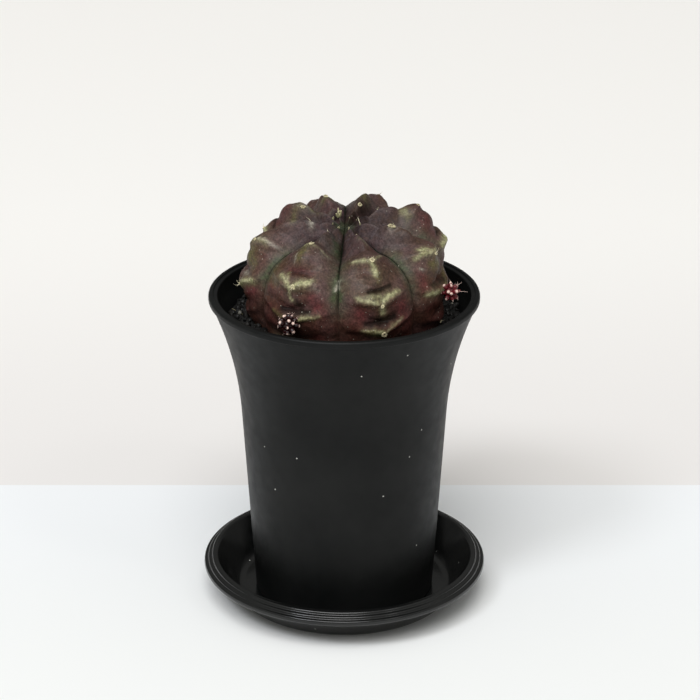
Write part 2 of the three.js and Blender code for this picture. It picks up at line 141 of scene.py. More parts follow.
# Along the crest, as [distance, value]: depth of the grooves, height of the bulges, and how far
# the creases between them rise from the crest to the groove
GROOVE_DEPTH = [[0, 0], [3, 1.4], [8, 3.9], [14, 5.0], [22, 4.3], [30, 3.2], [38, 2.3],
                [46, 2.0], [56, 1.6], [66, 0.8], [75, 0]]
BULGE_HEIGHT = [[0, 0.2], [5, 1.0], [12, 1.7], [18, 2.0], [26, 2.0], [34, 1.7],
                [42, 1.4], [50, 1.1], [56, 0.6], [62, 0]]
BULGE_VEE = [[0, 0], [4, 1.0], [10, 2.6], [58, 2.6], [66, 0]]
# A crease lies this share of the way up from one cushion to the one above, the last one this far
# below its cushion
CREASE_SHARE = 0.43
LAST_CREASE = 5.5
# A rib's section changes from a sharp roof to a round flank over SECTION_CHANGE. A flank's
# roundness flattens its top, and its softness makes its slope into the groove gentler
CREST_SHARPNESS = 1.15
FLANK_ROUNDNESS = [[0, 2.4], [26, 2.4], [38, 3.6], [75, 3.6]]
FLANK_SOFTNESS = [[30, 0.5], [42, 0.8]]
SECTION_CHANGE = [12, 36]
# How blunt a crease is at the crest and on the flanks, and how fast bulges fade towards the grooves
CREASE_BLUNTNESS = (0.8, 2.0)
BULGE_FALL = 2.2

# The plant leans, in degrees, about the place where it leaves the mix, and cushions lower than
# BURIED_BELOW are left out
LEAN_FORWARD = 7.4
LEAN_LEFT = 2.6
STEM = np.array([1.35, 0.15, 84.0])
BURIED_BELOW = 86

# Finer relief of the skin. The chin is the pinched ridge that runs through each cushion, with
# a hollow under it; on each rib it rises from the cushion towards the groove on the left and right
CHIN_HEIGHT = [[0, 0], [7, 0.05], [12, 0.3], [20, 0.6], [28, 0.8], [36, 0.75], [44, 0.5],
               [58, 0.3], [64, 0]]
CHIN_ABOVE = 1.5
CHIN_BELOW = 0.9
CHIN_RISE = np.array([(2.6, 3.0), (4.4, 2.0), (2.5, 2.5), (3.0, 3.0),
                      (3.0, 3.0), (3.0, 3.0), (4.0, 6.5), (3.4, 3.6)])
CHIN_RISE_BEND = 0.7
HOLLOW_SHARE = 0.7
HOLLOW_AT = 2.2
HOLLOW_WIDTH = 1.3
# A pinch is the short fold across a crest, this share of the way up to the cushion above
PINCH_SHARE = 0.36
PINCH_DEPTH = 1.0
PINCH_WIDTH = 0.55
PINCH_HALF_LENGTH = 3.4
# Half width in mm of the dark line in each groove along the crest, partly the groove's dark green and
# partly painted shade
FURROW_WIDTH = [[0, 0.08], [6, 0.12], [12, 0.22], [18, 0.32], [24, 0.2], [60, 0.13]]
# Slow swells of the skin, and smaller lumps, as (number in a mm, height in mm)
SKIN_LUMPS = [(0.16, 0.35), (0.55, 0.12)]
# Each rib takes the marks of the list below down to this distance, and chance ones past it
MARKED_DOWN_TO = [46, 50, 30, 24, 30, 24, 50, 46]
MARKS_SEED = 31
# Strokes of pigment on the skin: its mask, rib, strength and half width, and the line it follows
# as (mm beside the crest, mm down it)
# The crease strokes are painted shade, and the wax strokes are partly wax bloom and partly painted
# highlights
STROKES = [
    # front right
    ("pale", 0, 0.85, 0.34, [(-4.6, 20.2), (-3.0, 20.8), (-0.4, 22.0)]),
    ("pale", 0, 0.55, 0.28, [(0.8, 21.8), (3.6, 20.2)]),
    ("pale", 0, 0.85, 0.42, [(0.0, 22.6), (0.1, 25.4)]),
    ("olive", 0, 0.60, 0.90, [(0.2, 23.0), (0.4, 27.0)]),
    ("brown", 0, 0.95, 2.40, [(3.2, 23.6), (3.8, 27.6)]),
    ("brown", 0, 0.80, 1.60, [(-2.6, 24.0), (-2.4, 28.0)]),
    ("wax", 0, 0.12, 1.40, [(-5.0, 22.5), (-4.0, 27.5)]),
    ("crease", 0, 1.30, 0.50, [(-2.6, 29.5), (0.8, 29.4), (3.6, 28.8)]),
    ("pale", 0, 0.68, 0.50, [(-5.6, 30.9), (-3.0, 31.6), (-1.0, 32.5)]),
    ("pale", 0, 0.40, 0.40, [(-3.4, 30.6), (0.0, 31.0)]),
    ("moss", 0, 0.35, 0.70, [(-1.6, 31.6), (0.6, 31.8)]),
    ("pale", 0, 1.00, 0.50, [(0.7, 32.0), (2.6, 31.0), (5.6, 30.8)]),
    ("olive", 0, 0.75, 0.80, [(-1.6, 30.9), (2.0, 31.0)]),
    ("pale", 0, 0.75, 0.60, [(0.1, 33.4), (0.5, 35.6)]),
    ("blush", 0, 0.65, 1.70, [(-5.6, 34.6), (-4.4, 37.0)]),
    ("blush", 0, 0.60, 2.20, [(5.4, 33.0), (6.4, 37.5)]),
    ("crease", 0, 0.90, 1.00, [(-2.8, 36.8), (0.6, 37.4), (3.0, 36.8)]),
    ("crease", 0, 1.20, 0.70, [(-4.4, 38.0), (0.6, 38.3), (3.6, 37.4)]),
    ("pale", 0, 0.50, 0.28, [(-5.6, 39.6), (-3.0, 39.6), (-0.2, 40.4)]),
    ("moss", 0, 0.50, 0.60, [(-2.8, 40.4), (-0.4, 40.8)]),
    ("pale", 0, 0.30, 0.30, [(0.7, 40.6), (2.4, 39.2), (6.0, 38.5)]),
    ("olive", 0, 0.70, 0.80, [(-4.0, 40.2), (-0.6, 40.9)]),
    ("olive", 0, 0.50, 0.80, [(0.6, 12.4), (1.4, 14.4)]),
    ("wax", 0, 0.30, 0.50, [(0.9, 13.0), (1.3, 14.0)]),
    ("blush", 0, 0.45, 1.20, [(2.2, 14.4), (3.4, 15.6)]),
    ("moss", 0, 0.80, 0.70, [(-10.2, 22.0), (-10.6, 31.0)]),
    ("wax", 0, 0.90, 0.40, [(-9.9, 25.4), (-10.2, 27.4)]),
    ("moss", 0, 0.60, 0.80, [(7.8, 19.0), (10.4, 26.0)]),
    # front left
    ("olive", 7, 0.75, 1.15, [(-2.2, 17.4), (-0.6, 18.3), (-1.2, 21.0)]),
    ("pale", 7, 0.45, 0.45, [(-2.6, 16.4), (-0.6, 17.0)]),
    ("pale", 7, 0.30, 0.28, [(0.4, 16.9), (2.2, 16.2), (4.6, 16.4)]),
    ("wax", 7, 0.60, 0.26, [(-2.4, 20.4), (-2.0, 22.4)]),
    ("wax", 7, 0.12, 1.10, [(3.6, 17.0), (4.4, 21.8)]),
    ("blush", 7, 0.80, 1.00, [(-2.2, 24.9), (1.0, 24.5), (3.4, 24.7)]),
    ("crease", 7, 0.62, 0.75, [(-1.6, 25.2), (1.0, 24.9), (2.8, 25.0)]),
    ("pale", 7, 1.00, 0.42, [(-4.0, 26.6), (-1.6, 27.8), (0.0, 29.2)]),
    ("pale", 7, 0.70, 0.26, [(-2.3, 25.4), (-1.4, 27.6)]),
    ("pale", 7, 1.00, 0.70, [(0.9, 28.6), (2.6, 27.5), (4.4, 27.0)]),
    ("wax", 7, 0.45, 0.60, [(4.6, 27.0), (6.6, 28.6)]),
    ("pale", 7, 0.75, 0.32, [(0.0, 29.6), (-0.5, 30.8), (0.6, 32.4)]),
    ("olive", 7, 0.50, 2.00, [(-9.5, 27.6), (-5.0, 28.4)]),
    ("blush", 7, 0.85, 1.90, [(6.2, 31.0), (8.6, 35.0)]),
    ("blush", 7, 0.55, 1.30, [(-9.0, 31.6), (-3.4, 31.0)]),
    ("crease", 7, 0.90, 1.20, [(1.8, 32.6), (2.8, 34.2)]),
    ("crease", 7, 1.30, 0.60, [(-2.8, 35.2), (1.2, 35.3), (5.2, 34.8)]),
    ("pale", 7, 0.50, 0.45, [(1.6, 37.6), (4.0, 36.4), (8.0, 35.8)]),
    ("olive", 7, 0.50, 0.60, [(2.2, 37.6), (4.0, 36.7), (7.0, 36.1)]),
    ("olive", 7, 0.60, 0.50, [(-5.6, 36.6), (-1.4, 37.0)]),
    ("crease", 7, 0.60, 1.60, [(-2.0, 39.6), (5.0, 39.8)]),
    ("moss", 7, 0.85, 0.80, [(10.6, 21.0), (11.4, 31.0)]),
    ("wax", 7, 0.90, 0.35, [(11.2, 25.4), (11.4, 28.4)]),
    ("moss", 7, 0.50, 0.80, [(-10.2, 24.0), (-11.4, 30.0)]),
    # right
    ("wax", 1, 0.80, 0.70, [(-0.5, 14.4), (0.9, 13.8)]),
    ("crown", 1, 0.80, 2.20, [(-4.4, 14.0), (-1.6, 18.0)]),
    ("brown", 1, 0.90, 1.60, [(0.6, 17.2), (2.2, 20.4)]),
    ("pale", 1, 0.80, 0.50, [(-5.0, 25.2), (-3.0, 25.4), (-0.4, 26.6)]),
    ("pale", 1, 0.95, 0.55, [(-2.4, 24.2), (0.0, 26.2), (2.6, 27.8)]),
    ("olive", 1, 0.80, 1.40, [(-1.8, 29.2), (3.0, 30.4)]),
    ("wax", 1, 0.75, 0.35, [(-5.4, 28.6), (-5.0, 29.2)]),
    ("blush", 1, 0.75, 1.60, [(-6.2, 29.4), (-7.0, 34.6)]),
    ("brown", 1, 0.80, 1.60, [(-3.0, 32.6), (0.6, 33.4)]),
    ("crease", 1, 0.80, 0.60, [(-4.4, 34.2), (2.0, 35.2)]),
    ("pale", 1, 0.85, 0.70, [(-6.4, 35.8), (-3.0, 36.8), (0.4, 37.6)]),
    ("olive", 1, 0.60, 0.80, [(1.0, 36.4), (5.0, 34.0)]),
    ("moss", 1, 0.60, 0.70, [(-7.2, 19.5), (-9.4, 29.0)]),
    # left
    ("wax", 6, 0.80, 0.55, [(-0.8, 9.2), (0.8, 9.4)]),
    ("olive", 6, 0.60, 0.60, [(-0.2, 13.6), (0.4, 14.4)]),
    ("wax", 6, 0.50, 0.50, [(0.4, 24.2), (2.4, 22.4), (5.2, 21.4)]),
    ("pale", 6, 0.50, 0.65, [(-0.8, 25.6), (1.0, 23.8), (3.2, 22.8)]),
    ("olive", 6, 0.85, 1.80, [(0.6, 28.0), (3.2, 29.4)]),
    ("blush", 6, 0.40, 1.80, [(6.0, 25.6), (7.0, 30.5)]),
    ("crease", 6, 0.80, 0.50, [(-2.0, 32.6), (2.4, 32.4)]),
    ("pale", 6, 0.95, 0.65, [(0.6, 37.6), (3.8, 35.2), (7.0, 33.4)]),
    ("wax", 6, 0.80, 0.50, [(0.0, 34.2), (2.0, 33.6)]),
    ("blush", 6, 1.00, 1.60, [(5.0, 37.4), (8.4, 35.8)]),
    ("moss", 6, 0.60, 0.70, [(7.8, 21.0), (9.8, 31.0)]),
    ("moss", 6, 0.50, 0.80, [(-1.2, 24.0), (-1.2, 30.0)]),
    # round the growing point, and the ribs at the back
    ("crown", 5, 0.90, 2.00, [(1.5, 6.0), (3.6, 14.0)]),
    ("crown", 6, 0.90, 1.60, [(1.8, 7.0), (4.4, 15.0)]),
    ("crease", 3, 0.75, 1.80, [(-0.8, 2.0), (-2.6, 11.0)]),
    ("crease", 3, 0.60, 1.20, [(1.2, 3.0), (3.2, 8.6)]),
    ("wax", 2, 0.50, 0.90, [(3.0, 9.0), (4.0, 12.0)]),
    ("moss", 7, 0.70, 1.50, [(3.2, 8.4), (5.4, 12.4)]),
    ("crease", 2, 0.80, 0.90, [(0.0, 2.5), (0.0, 5.8)]),
    ("crease", 1, 0.60, 0.70, [(-0.4, 1.5), (-0.6, 4.0)]),
    ("crease", 4, 0.65, 0.90, [(-0.8, 2.0), (-2.8, 7.5)]),
    ("crease", 4, 0.95, 1.00, [(0.8, 5.4), (3.0, 7.6)]),
    ("olive", 2, 0.60, 0.90, [(-2.6, 18.4), (-0.6, 16.6)]),
    ("pale", 2, 0.45, 0.60, [(-1.4, 17.4), (0.2, 16.6)]),
    ("crown", 2, 0.80, 1.40, [(-1.2, 12.6), (-3.6, 19.0)]),
    ("blush", 2, 0.50, 2.40, [(-3.4, 22.4), (-3.4, 27.0)]),
    ("brown", 3, 0.90, 1.60, [(0.0, 4.0), (0.0, 9.0)]),
    ("olive", 3, 0.70, 1.10, [(-0.4, 12.4), (1.4, 14.0)]),
    ("olive", 4, 0.90, 1.00, [(-1.0, 14.4), (0.8, 14.6)]),
    ("blush", 4, 0.35, 1.80, [(-1.2, 8.6), (1.6, 12.4)]),
    ("wax", 4, 0.30, 0.70, [(0.2, 8.2), (3.0, 10.2)]),
    ("olive", 5, 0.90, 0.80, [(-0.8, 8.0), (-0.5, 11.6)]),
    ("olive", 5, 0.70, 0.80, [(-0.5, 13.6), (3.0, 15.6)]),
    ("wax", 5, 0.90, 0.50, [(-0.4, 12.0), (-0.1, 14.2)]),
    ("blush", 5, 0.50, 2.00, [(1.6, 17.4), (2.4, 21.6)]),
]
# the crease mask is painted shade, the groove line partly painted shade, and the wax and groove-side masks
# partly a painted highlight and sheen
MASKS = ("pale", "blush", "olive", "moss", "brown", "wax", "crease", "sheen", "furrow", "low",
         "crown", "dusty")

# Wool cushions that are larger or smaller than the rest, by rib and cushion
WOOL_SIZES = {
    (0, 5): 1.5, (0, 4): 1.45, (0, 3): 1.0, (0, 2): 1.3, (0, 1): 0.35, (1, 1): 1.8, (2, 1): 0.25,
    (3, 1): 1.15, (4, 1): 1.2, (5, 1): 1.2, (6, 1): 0.25, (7, 3): 1.3, (7, 2): 1.2, (7, 1): 0.25,
}
# Cushions beside their crest, as (share of the way across, rows down)
WOOL_SHIFTS = {
    (1, 1): (-0.07, 0.0), (3, 1): (-0.12, 0.0), (5, 1): (0.14, -0.02), (6, 2): (0.08, -0.1),
    (7, 2): (0.03, -0.04), (7, 3): (0.08, -0.06),
}
# Cushions squeezed between their bulges: how much wider across and narrower along the crest
WOOL_SQUEEZES = {(1, 1): (1.25, 0.5), (5, 1): (1.3, 0.6), (7, 2): (1.3, 0.7), (4, 1): (1.2, 0.8)}
# Size in mm of the young tuft at each rib's top, and the number of hairs in a tuft and in a cushion
YOUNG_TUFTS = [0.4, 0.35, 0.25, 0.25, 1.5, 0.5, 0.3, 0.45]
TUFT_HAIRS = 9
WOOL_HAIRS = 14
CUSHION_SEED = 5
# Spines that show from the front: lean sideways and upwards, length in mm, upward bend
SHOWN_SPINES = {
    (6, 3): [(0.1, -0.7, 2.4, 1.4), (-0.3, 0.9, 1.2, 0.3), (0.6, -0.5, 1.2, 0)],
    (1, 2): [(0.9, 0.6, 1.8, 0.3), (-0.6, 0.4, 1.4, 0.2)],
    (0, 2): [(-0.3, 0.8, 1.2, 0), (0.5, 0.7, 1.3, 0), (0.2, -0.4, 1.2, 0)],
    (7, 3): [(-0.3, -0.8, 1.8, 0), (0.1, -0.9, 1.6, 0), (-0.5, 0.5, 1.2, 0)],
    (1, 0): [(-0.5, 0.0, 2.6, 0), (-0.45, 0.1, 2.5, 0), (-0.55, 0.1, 2.2, 0)],
    (6, 1): [(1.6, 3.0, 1.9, 0)],
}

# Grid of the skin: columns for each rib, and rows for its top, for each bulge and for the root
SKIN_COLUMNS = 56
TOP_SKIN_ROWS = 14
SKIN_ROWS = 30
ROOT_SKIN_ROWS = 8

# Offsets, by the rib and the cushion that they grow from and the place across the rib: radius and
# distance out from the skin in mm, number of tubercles, strength of the red, where the pale tips
# start, share of bright tips, and long hairs as (to the right, up) in mm
OFFSETS = [
    {"name": "offset_front_left", "rib": 7, "cushion": 4, "across": 0.1, "radius": 3.0, "out": 2.3,
     "tubercles": 19, "depth": 0.12, "tip": 0.62, "bright": 0.35, "hairs": []},
    {"name": "offset_right", "rib": 1, "cushion": 3, "across": 0.0, "radius": 2.8, "out": 1.8,
     "tubercles": 20, "depth": 0.8, "tip": 0.66, "bright": 0.85,
     "hairs": [(2.3, 0.2), (1.4, 1.5)]},
]

# Share of an offset's radius that its core takes, and how far back towards the skin, from 1 at
# its tip to -1, the tubercles grow
OFFSET_CORE = 0.58
OFFSET_BACK = -0.75
OFFSET_SEED = 23

# Camera, from the photograph: tilt below the horizon, place, and the object's middle in the frame
CAMERA_TILT = 22.75
CAMERA_Y = -627.3
CAMERA_Z = 336.6
FOCAL_PIXELS = 2441
CENTRE_PIXELS_LEFT = 5.79
FRAME_PIXELS = 700
SENSOR = 36
BACKDROP_Y = 65.4

# How far from the line where they meet the boards change their white, in mm; the backdrop's darker white at
# the line is painted shade
TABLE_FADE = 120
BACKDROP_FADE = 260

# Stage, in metres: how far the boards reach, and what the lamps aim at
FAR = 4.0
AIM = (0, 0, 0.06)
# Each lamp's name, kind, place, width (a far one's is an angle), colour, and property for its power
LAMPS = [
    ("ceiling_panel", "SUN", (-0.12, -0.84, 1.5), math.radians(36), (1.0, 1.0, 1.0), "ceiling"),
    ("key_softbox", "AREA", (-0.84, -0.92, 1.45), 0.45, (0.97, 1.0, 1.05), "key"),
    ("side_lamp", "AREA", (0.6, -0.56, 0.92), 0.16, (1.0, 1.0, 1.0), "side"),
]
# Colour of the sky, and its brightness behind the pot as a share of that in front
SKY_COLOUR = (1.0, 1.0, 0.96, 1.0)
SKY_BEHIND = 0.4


def hex_to_linear(code):
    """Linear red, green and blue of an sRGB hex colour."""
    parts = [int(code[i:i + 2], 16) / 255 for i in (1, 3, 5)]
    return tuple(c / 12.92 if c <= 0.04045 else ((c + 0.055) / 1.055) ** 2.4 for c in parts)


def tint(name, code, description):
    """A colour property whose default is an sRGB hex colour."""
    return FloatVectorProperty(name=name, description=description, subtype="COLOR", size=3,
                               min=0, max=1, default=hex_to_linear(code))


def length(name, millimetres, description):
    """A length property whose default is given in millimetres."""
    return FloatProperty(name=name, description=description, unit="LENGTH", precision=5,
                         min=0, default=millimetres * MM)


# ---------------------------------------------------------------- properties

class SaucerSettings(bpy.types.PropertyGroup):
    """Size and plastic of the saucer"""
    rim_radius: length("Rim radius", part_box("saucer")[1].x / MM, "Outer radius of the saucer's rim")
    height: length("Height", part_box("saucer")[1].z / MM, "Height of the lip above the table")
    grain: length("Grain", 0.5, "Width of the moulded grain")
    colour: tint("Plastic", "#0a0b0b", "Colour of the black plastic")
    dust: tint("Dust", "#b9bab4", "Colour of the dust specks")


class PotSettings(bpy.types.PropertyGroup):
    """Size and plastic of the pot"""
    rim_radius: length("Rim radius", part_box("pot")[1].x / MM, "Outer radius of the pot's rim")
    top: length("Top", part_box("pot")[1].z / MM, "Height of the rim above the table")
    grain: length("Grain", 0.6, "Width of the moulded grain")
    colour: tint("Plastic", "#0d0e0e", "Colour of the black plastic")
    dust: tint("Dust", "#c4c4be", "Colour of the dust specks")


class MixSettings(bpy.types.PropertyGroup):
    """Crumbs, fibres and colours of the potting mix"""
    crumb_radius: length("Crumb", 1.0, "Middle radius of the crumbs")
    crumbs: IntProperty(name="Crumbs", description="Number of loose crumbs", default=950, min=0)
    fibres: IntProperty(name="Fibres", description="Number of pale fibres", default=16, min=0)
    bark: tint("Bark", "#171411", "Colour of the dark bark crumbs")
    damp: tint("Damp peat", "#080808", "Colour of the damp peat between them")
    grit: tint("Grit", "#6d6a62", "Colour of the few pale grains")
    fibre: tint("Fibre", "#8f8564", "Colour of the pale root fibres")


class PlantSettings(bpy.types.PropertyGroup):
    """Wool, spines and colours of the cactus and its offsets"""
    wool_radius: length("Wool", 0.55, "Radius of a woolly cushion")
    spine_radius: length("Spine", 0.075, "Radius of a spine at its root")
    skin: tint("Skin", "#503a39", "Greyish purple of the skin")
    earth: tint("Brown skin", "#463328", "Brown of the skin's flecks")
    crown: tint("Crown", "#443a3d", "Dark purple grey round the growing point")
    blush: tint("Blush", "#58262a", "Deep red between the bands")
    low: tint("Low skin", "#40251f", "Dark maroon near the mix")
    olive: tint("Olive", "#5b5832", "Olive patches")
    band: tint("Band", "#8b8b60", "Yellow green of the bands on the chins")
    band_pale: tint("Pale band", "#bebc96", "Cream of the bands where they are palest")
    moss: tint("Green", "#39492c", "Clear green beside the lower grooves")
    # partly the real bloom of wax and partly painted highlights on crests, chins and groove edges; it also
    # colours the wax grains
    wax: tint("Wax", "#a8a294", "Greyish bloom of wax")
    # grey green beside the grooves, partly the skin's own green and partly a painted sheen
    sheen: tint("Groove side", "#505544", "Grey green beside the grooves")
    # partly the dark green of the grooves and partly painted shade in them
    furrow: tint("Groove", "#0e140b", "Dark green of the grooves")
    # painted shade: near-black brown laid into the creases, the hollows under the chins, the valleys near
    # the top and the pit at the growing point
    crease: tint("Crease", "#120907", "Dark brown of the creases")
    wool: tint("Wool", "#d6cda4", "Cream wool of the cushions")
    old_wool: tint("Old wool", "#5a4a34", "Brown of old wool and spines")
    spine: tint("Spine", "#d8cfb0", "Straw colour of the spines")
    head: tint("Offset", "#741f27", "Red of the offsets")
    head_tip: tint("Offset tip", "#e8cabd", "Pinkish white tips of the offsets")


class StageSettings(bpy.types.PropertyGroup):
    """Whites of the boards and strengths of the lights"""
    table: tint("Table", "#f0f1f0", "Cool white of the table")
    table_far: tint("Table's far edge", "#f0f2f4", "White of the table where the backdrop meets it")
    backdrop: tint("Backdrop", "#f5f3f0", "Warm white of the backdrop")
    # painted shade: the backdrop is darker where it meets the table
    backdrop_foot_shade: tint("Backdrop's foot", "#e9e6e4", "White of the backdrop where it meets the table")
    ceiling: FloatProperty(
        name="Ceiling", description="Strength of the wide ceiling panel", default=1.75, min=0)
    key: FloatProperty(
        name="Key", description="Power of the lamp on the left", default=8.5, min=0, unit="POWER")
    side: FloatProperty(
        name="Side", description="Power of the lamp on the right", default=0.5, min=0, unit="POWER")
    fill: FloatProperty(
        name="Fill", description="Strength of the light all round", default=0.76, min=0)


# ---------------------------------------------------------------- small tools

def mix(a, b, share):
    return a + (b - a) * share


def smoothstep(value, low, high):
    t = np.clip((value - low) / (high - low), 0, 1)
    return t * t * (3 - 2 * t)


def bell(value, width):
    return np.exp(-(value / width) ** 2)


def along(table, distance):
    """Value of a [distance, value] table at a distance."""
    return np.interp(distance, [d for d, _ in table], [v for _, v in table])


def turned(angle):
    """Unit vector on the ground at an angle in degrees from the front, positive to the right."""
    return np.array([math.sin(math.radians(angle)), -math.cos(math.radians(angle)), 0.0])


def unit(vector):
    return vector / np.maximum(np.linalg.norm(vector, axis=-1, keepdims=True), 1e-12)


def add_piece(name, points, faces, material, sharp=None):
    """Adds a smooth mesh of points in millimetres that rides on the body."""
    mesh = bpy.data.meshes.new(name)
    mesh.from_pydata((np.asarray(points, float) * MM).tolist(), [], faces)
    mesh.validate()
    mesh.materials.append(material)
    mesh.shade_smooth()
    if sharp:
        mesh.set_sharp_from_angle(angle=math.radians(sharp))
    piece = bpy.data.objects.new(name, mesh)
    bpy.context.scene.collection.objects.link(piece)
    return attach(piece, BODY)


def paint(piece, name, values):
    """Stores one number for each vertex, for the material to read."""
    attribute = piece.data.attributes.new(name, "FLOAT", "POINT")
    attribute.data.foreach_set("value", np.ascontiguousarray(values, np.float32))


def closed_skin(rings, first=None, last=None):
    """Points and faces of a closed body from rings of equal length, the lowest first.

    Without end points the last ring joins the first one."""
    rings = np.asarray(rings, float)
    rows, count = rings.shape[:2]
    faces = []
    for r in range(rows if first is None else rows - 1):
        low, high = r * count, (r + 1) % rows * count
        for i in range(count):
            j = (i + 1) % count
            faces.append((low + i, low + j, high + j, high + i))
    points = rings.reshape(-1, 3)
    if first is not None:
        bottom, top = len(points), len(points) + 1
        points = np.vstack([points, first, last])
        faces += [(bottom, (i + 1) % count, i) for i in range(count)]
        end = (rows - 1) * count
        faces += [(top, end + i, end + (i + 1) % count) for i in range(count)]
    return points, faces


def rounded(outline):
    """[radius, height] points of an outline whose corners, given as (r, z, fillet), are rounded."""
    made = []
    for i, (r, z, fillet) in enumerate(outline):
        corner = np.array([r, z])
        if not fillet:
            made.append(corner)
            continue
        before = np.array(outline[i - 1][:2]) - corner
        after = np.array(outline[(i + 1) % len(outline)][:2]) - corner
        start = corner + before * min(fillet / np.linalg.norm(before), 0.5)
        end = corner + after * min(fillet / np.linalg.norm(after), 0.5)
        for t in np.linspace(0, 1, FILLET_STEPS):
            made.append(start * (1 - t) ** 2 + corner * 2 * t * (1 - t) + end * t * t)
    return made


def revolved(outline):
    """Points and faces of a solid of revolution. The outline closes on itself or on the axis."""
    turns = np.array([turned(360 * i / TURNED_FACETS) for i in range(TURNED_FACETS)])
    on_axis = outline[0][0] == 0
    rings = [turns * r + [0, 0, z] for r, z in (outline[1:-1] if on_axis else outline)]
    if not on_axis:
        return closed_skin(rings)
    return closed_skin(rings, [0, 0, outline[0][1]], [0, 0, outline[-1][1]])


class Gathered:
    """Small closed shapes gathered into one mesh, each point with a shade from 0 to 1."""

    def __init__(self):
        self.points = []
        self.faces = []
        self.shades = []
        self.count = 0

    def add(self, points, faces, shade):
        self.points.append(points)
        self.faces += [tuple(self.count + i for i in face) for face in faces]
        self.shades.append(np.broadcast_to(shade, len(points)))
        self.count += len(points)

    def add_tube(self, line, radii, sides, shade):
        """A closed tube along a line of points, with a radius at each."""
        line = np.asarray(line, float)
        directions = unit(np.gradient(line, axis=0))
        reference = np.array([0.31, 0.52, 0.79])
        side = unit(np.cross(directions, reference))
        up = np.cross(directions, side)
        angles = np.arange(sides) * 2 * math.pi / sides
        rings = [
            p + radius * (np.outer(np.cos(angles), s) + np.outer(np.sin(angles), u))
            for p, radius, s, u in zip(line, radii, side, up)
        ]
        points, faces = closed_skin(rings, line[0] - directions[0] * radii[0] * 0.3, line[-1])
        self.add(points, faces, shade)

    def build(self, name, material):
        piece = add_piece(name, np.vstack(self.points), self.faces, material)
        paint(piece, "shade", np.concatenate(self.shades))
        return piece


def round_blob(columns, rows):
    """Points and faces of a unit ball, as rings from the bottom."""
    heights = np.linspace(-1, 1, rows + 2)[1:-1] * math.pi / 2
    rings = [
        [[math.cos(h) * math.cos(a), math.cos(h) * math.sin(a), math.sin(h)]
         for a in np.arange(columns) * 2 * math.pi / columns]
        for h in heights
    ]
    return closed_skin(rings, [0, 0, -1], [0, 0, 1])


def frame_on(normal):
    """Sideways, upward and outward directions of a place on the skin."""
    side = unit(np.cross([0, 0, 1], normal))
    return np.array([side, np.cross(normal, side), normal])


# ---------------------------------------------------------------- materials

def add_node(tree, kind, inputs=None, **settings):
    """Adds a node with its settings, and values or links for its inputs."""
    made = tree.nodes.new(kind)
    for name, value in settings.items():
        setattr(made, name, value)
    for key, value in (inputs or {}).items():
        if isinstance(value, bpy.types.NodeSocket):
            tree.links.new(value, made.inputs[key])
        else:
            made.inputs[key].default_value = value
    return made


def new_material(name):
    material = bpy.data.materials.new(name)
    material.use_nodes = True
    material.node_tree.nodes.clear()
    return material, material.node_tree


def rgba(colour):
    return (*colour, 1.0)


def per_mm(size):
    """Texture scale at which one cell of a pattern is as wide as a size in millimetres."""
    return 1 / (size * MM)


def moulded_polypropylene(name, colour, dust, grain, roughness, gloss):
    """Black polypropylene, injection moulded in a lightly textured mould: a dull satin black with
    a fine grain, cloudy patches from handling, and a little pale dust.

    The real grain is about 0.1 mm, too fine to show, so it is drawn several times as wide."""
    material, tree = new_material(name)
    place = add_node(tree, "ShaderNodeTexCoord").outputs["Object"]
    clouds = add_node(tree, "ShaderNodeTexNoise", {"Vector": place, "Scale": per_mm(22), "Detail": 4.0})
    scuffs = add_node(tree, "ShaderNodeTexNoise", {"Vector": place, "Scale": per_mm(3.5), "Detail": 5.0})
    pits = add_node(tree, "ShaderNodeTexNoise", {"Vector": place, "Scale": per_mm(grain), "Detail": 3.0})
    # one grain of dust in some cells of a 6 mm pattern, about 0.4 mm across so that it shows
    cells = add_node(tree, "ShaderNodeTexVoronoi", {"Vector": place, "Scale": per_mm(6.0)})
    close = add_node(tree, "ShaderNodeMath", {0: cells.outputs["Distance"], 1: 0.035},
                     operation="LESS_THAN")
    chosen = add_node(tree, "ShaderNodeSeparateColor", {"Color": cells.outputs["Color"]})
    some = add_node(tree, "ShaderNodeMath", {0: chosen.outputs["Red"], 1: 0.3}, operation="GREATER_THAN")
    speck = add_node(tree, "ShaderNodeMath", {0: close.outputs[0], 1: some.outputs[0]},
                     operation="MULTIPLY")
    faded = add_node(tree, "ShaderNodeMapRange", {
        "Value": clouds.outputs["Fac"], "From Min": 0.35, "From Max": 0.7, "To Max": 0.008})
    dusted = add_node(tree, "ShaderNodeMix", {0: faded.outputs[0], 6: rgba(colour), 7: rgba(dust)},
                      data_type="RGBA")
    specked = add_node(tree, "ShaderNodeMix", {0: speck.outputs[0], 6: dusted.outputs[2], 7: rgba(dust)},
                       data_type="RGBA")
    rough = add_node(tree, "ShaderNodeMapRange", {
        "Value": scuffs.outputs["Fac"], "From Min": 0.3, "From Max": 0.7,
        "To Min": roughness - 0.05, "To Max": roughness + 0.06})
    bump = add_node(tree, "ShaderNodeBump", {
        "Height": pits.outputs["Fac"], "Strength": 0.1, "Distance": 0.03 * MM})
    shader = add_node(tree, "ShaderNodeBsdfPrincipled", {
        "Base Color": specked.outputs[2], "Roughness": rough.outputs[0], "Normal": bump.outputs[0],
        "IOR": 1.49, "Specular IOR Level": gloss})
    add_node(tree, "ShaderNodeOutputMaterial", {"Surface": shader.outputs[0]})
    return material


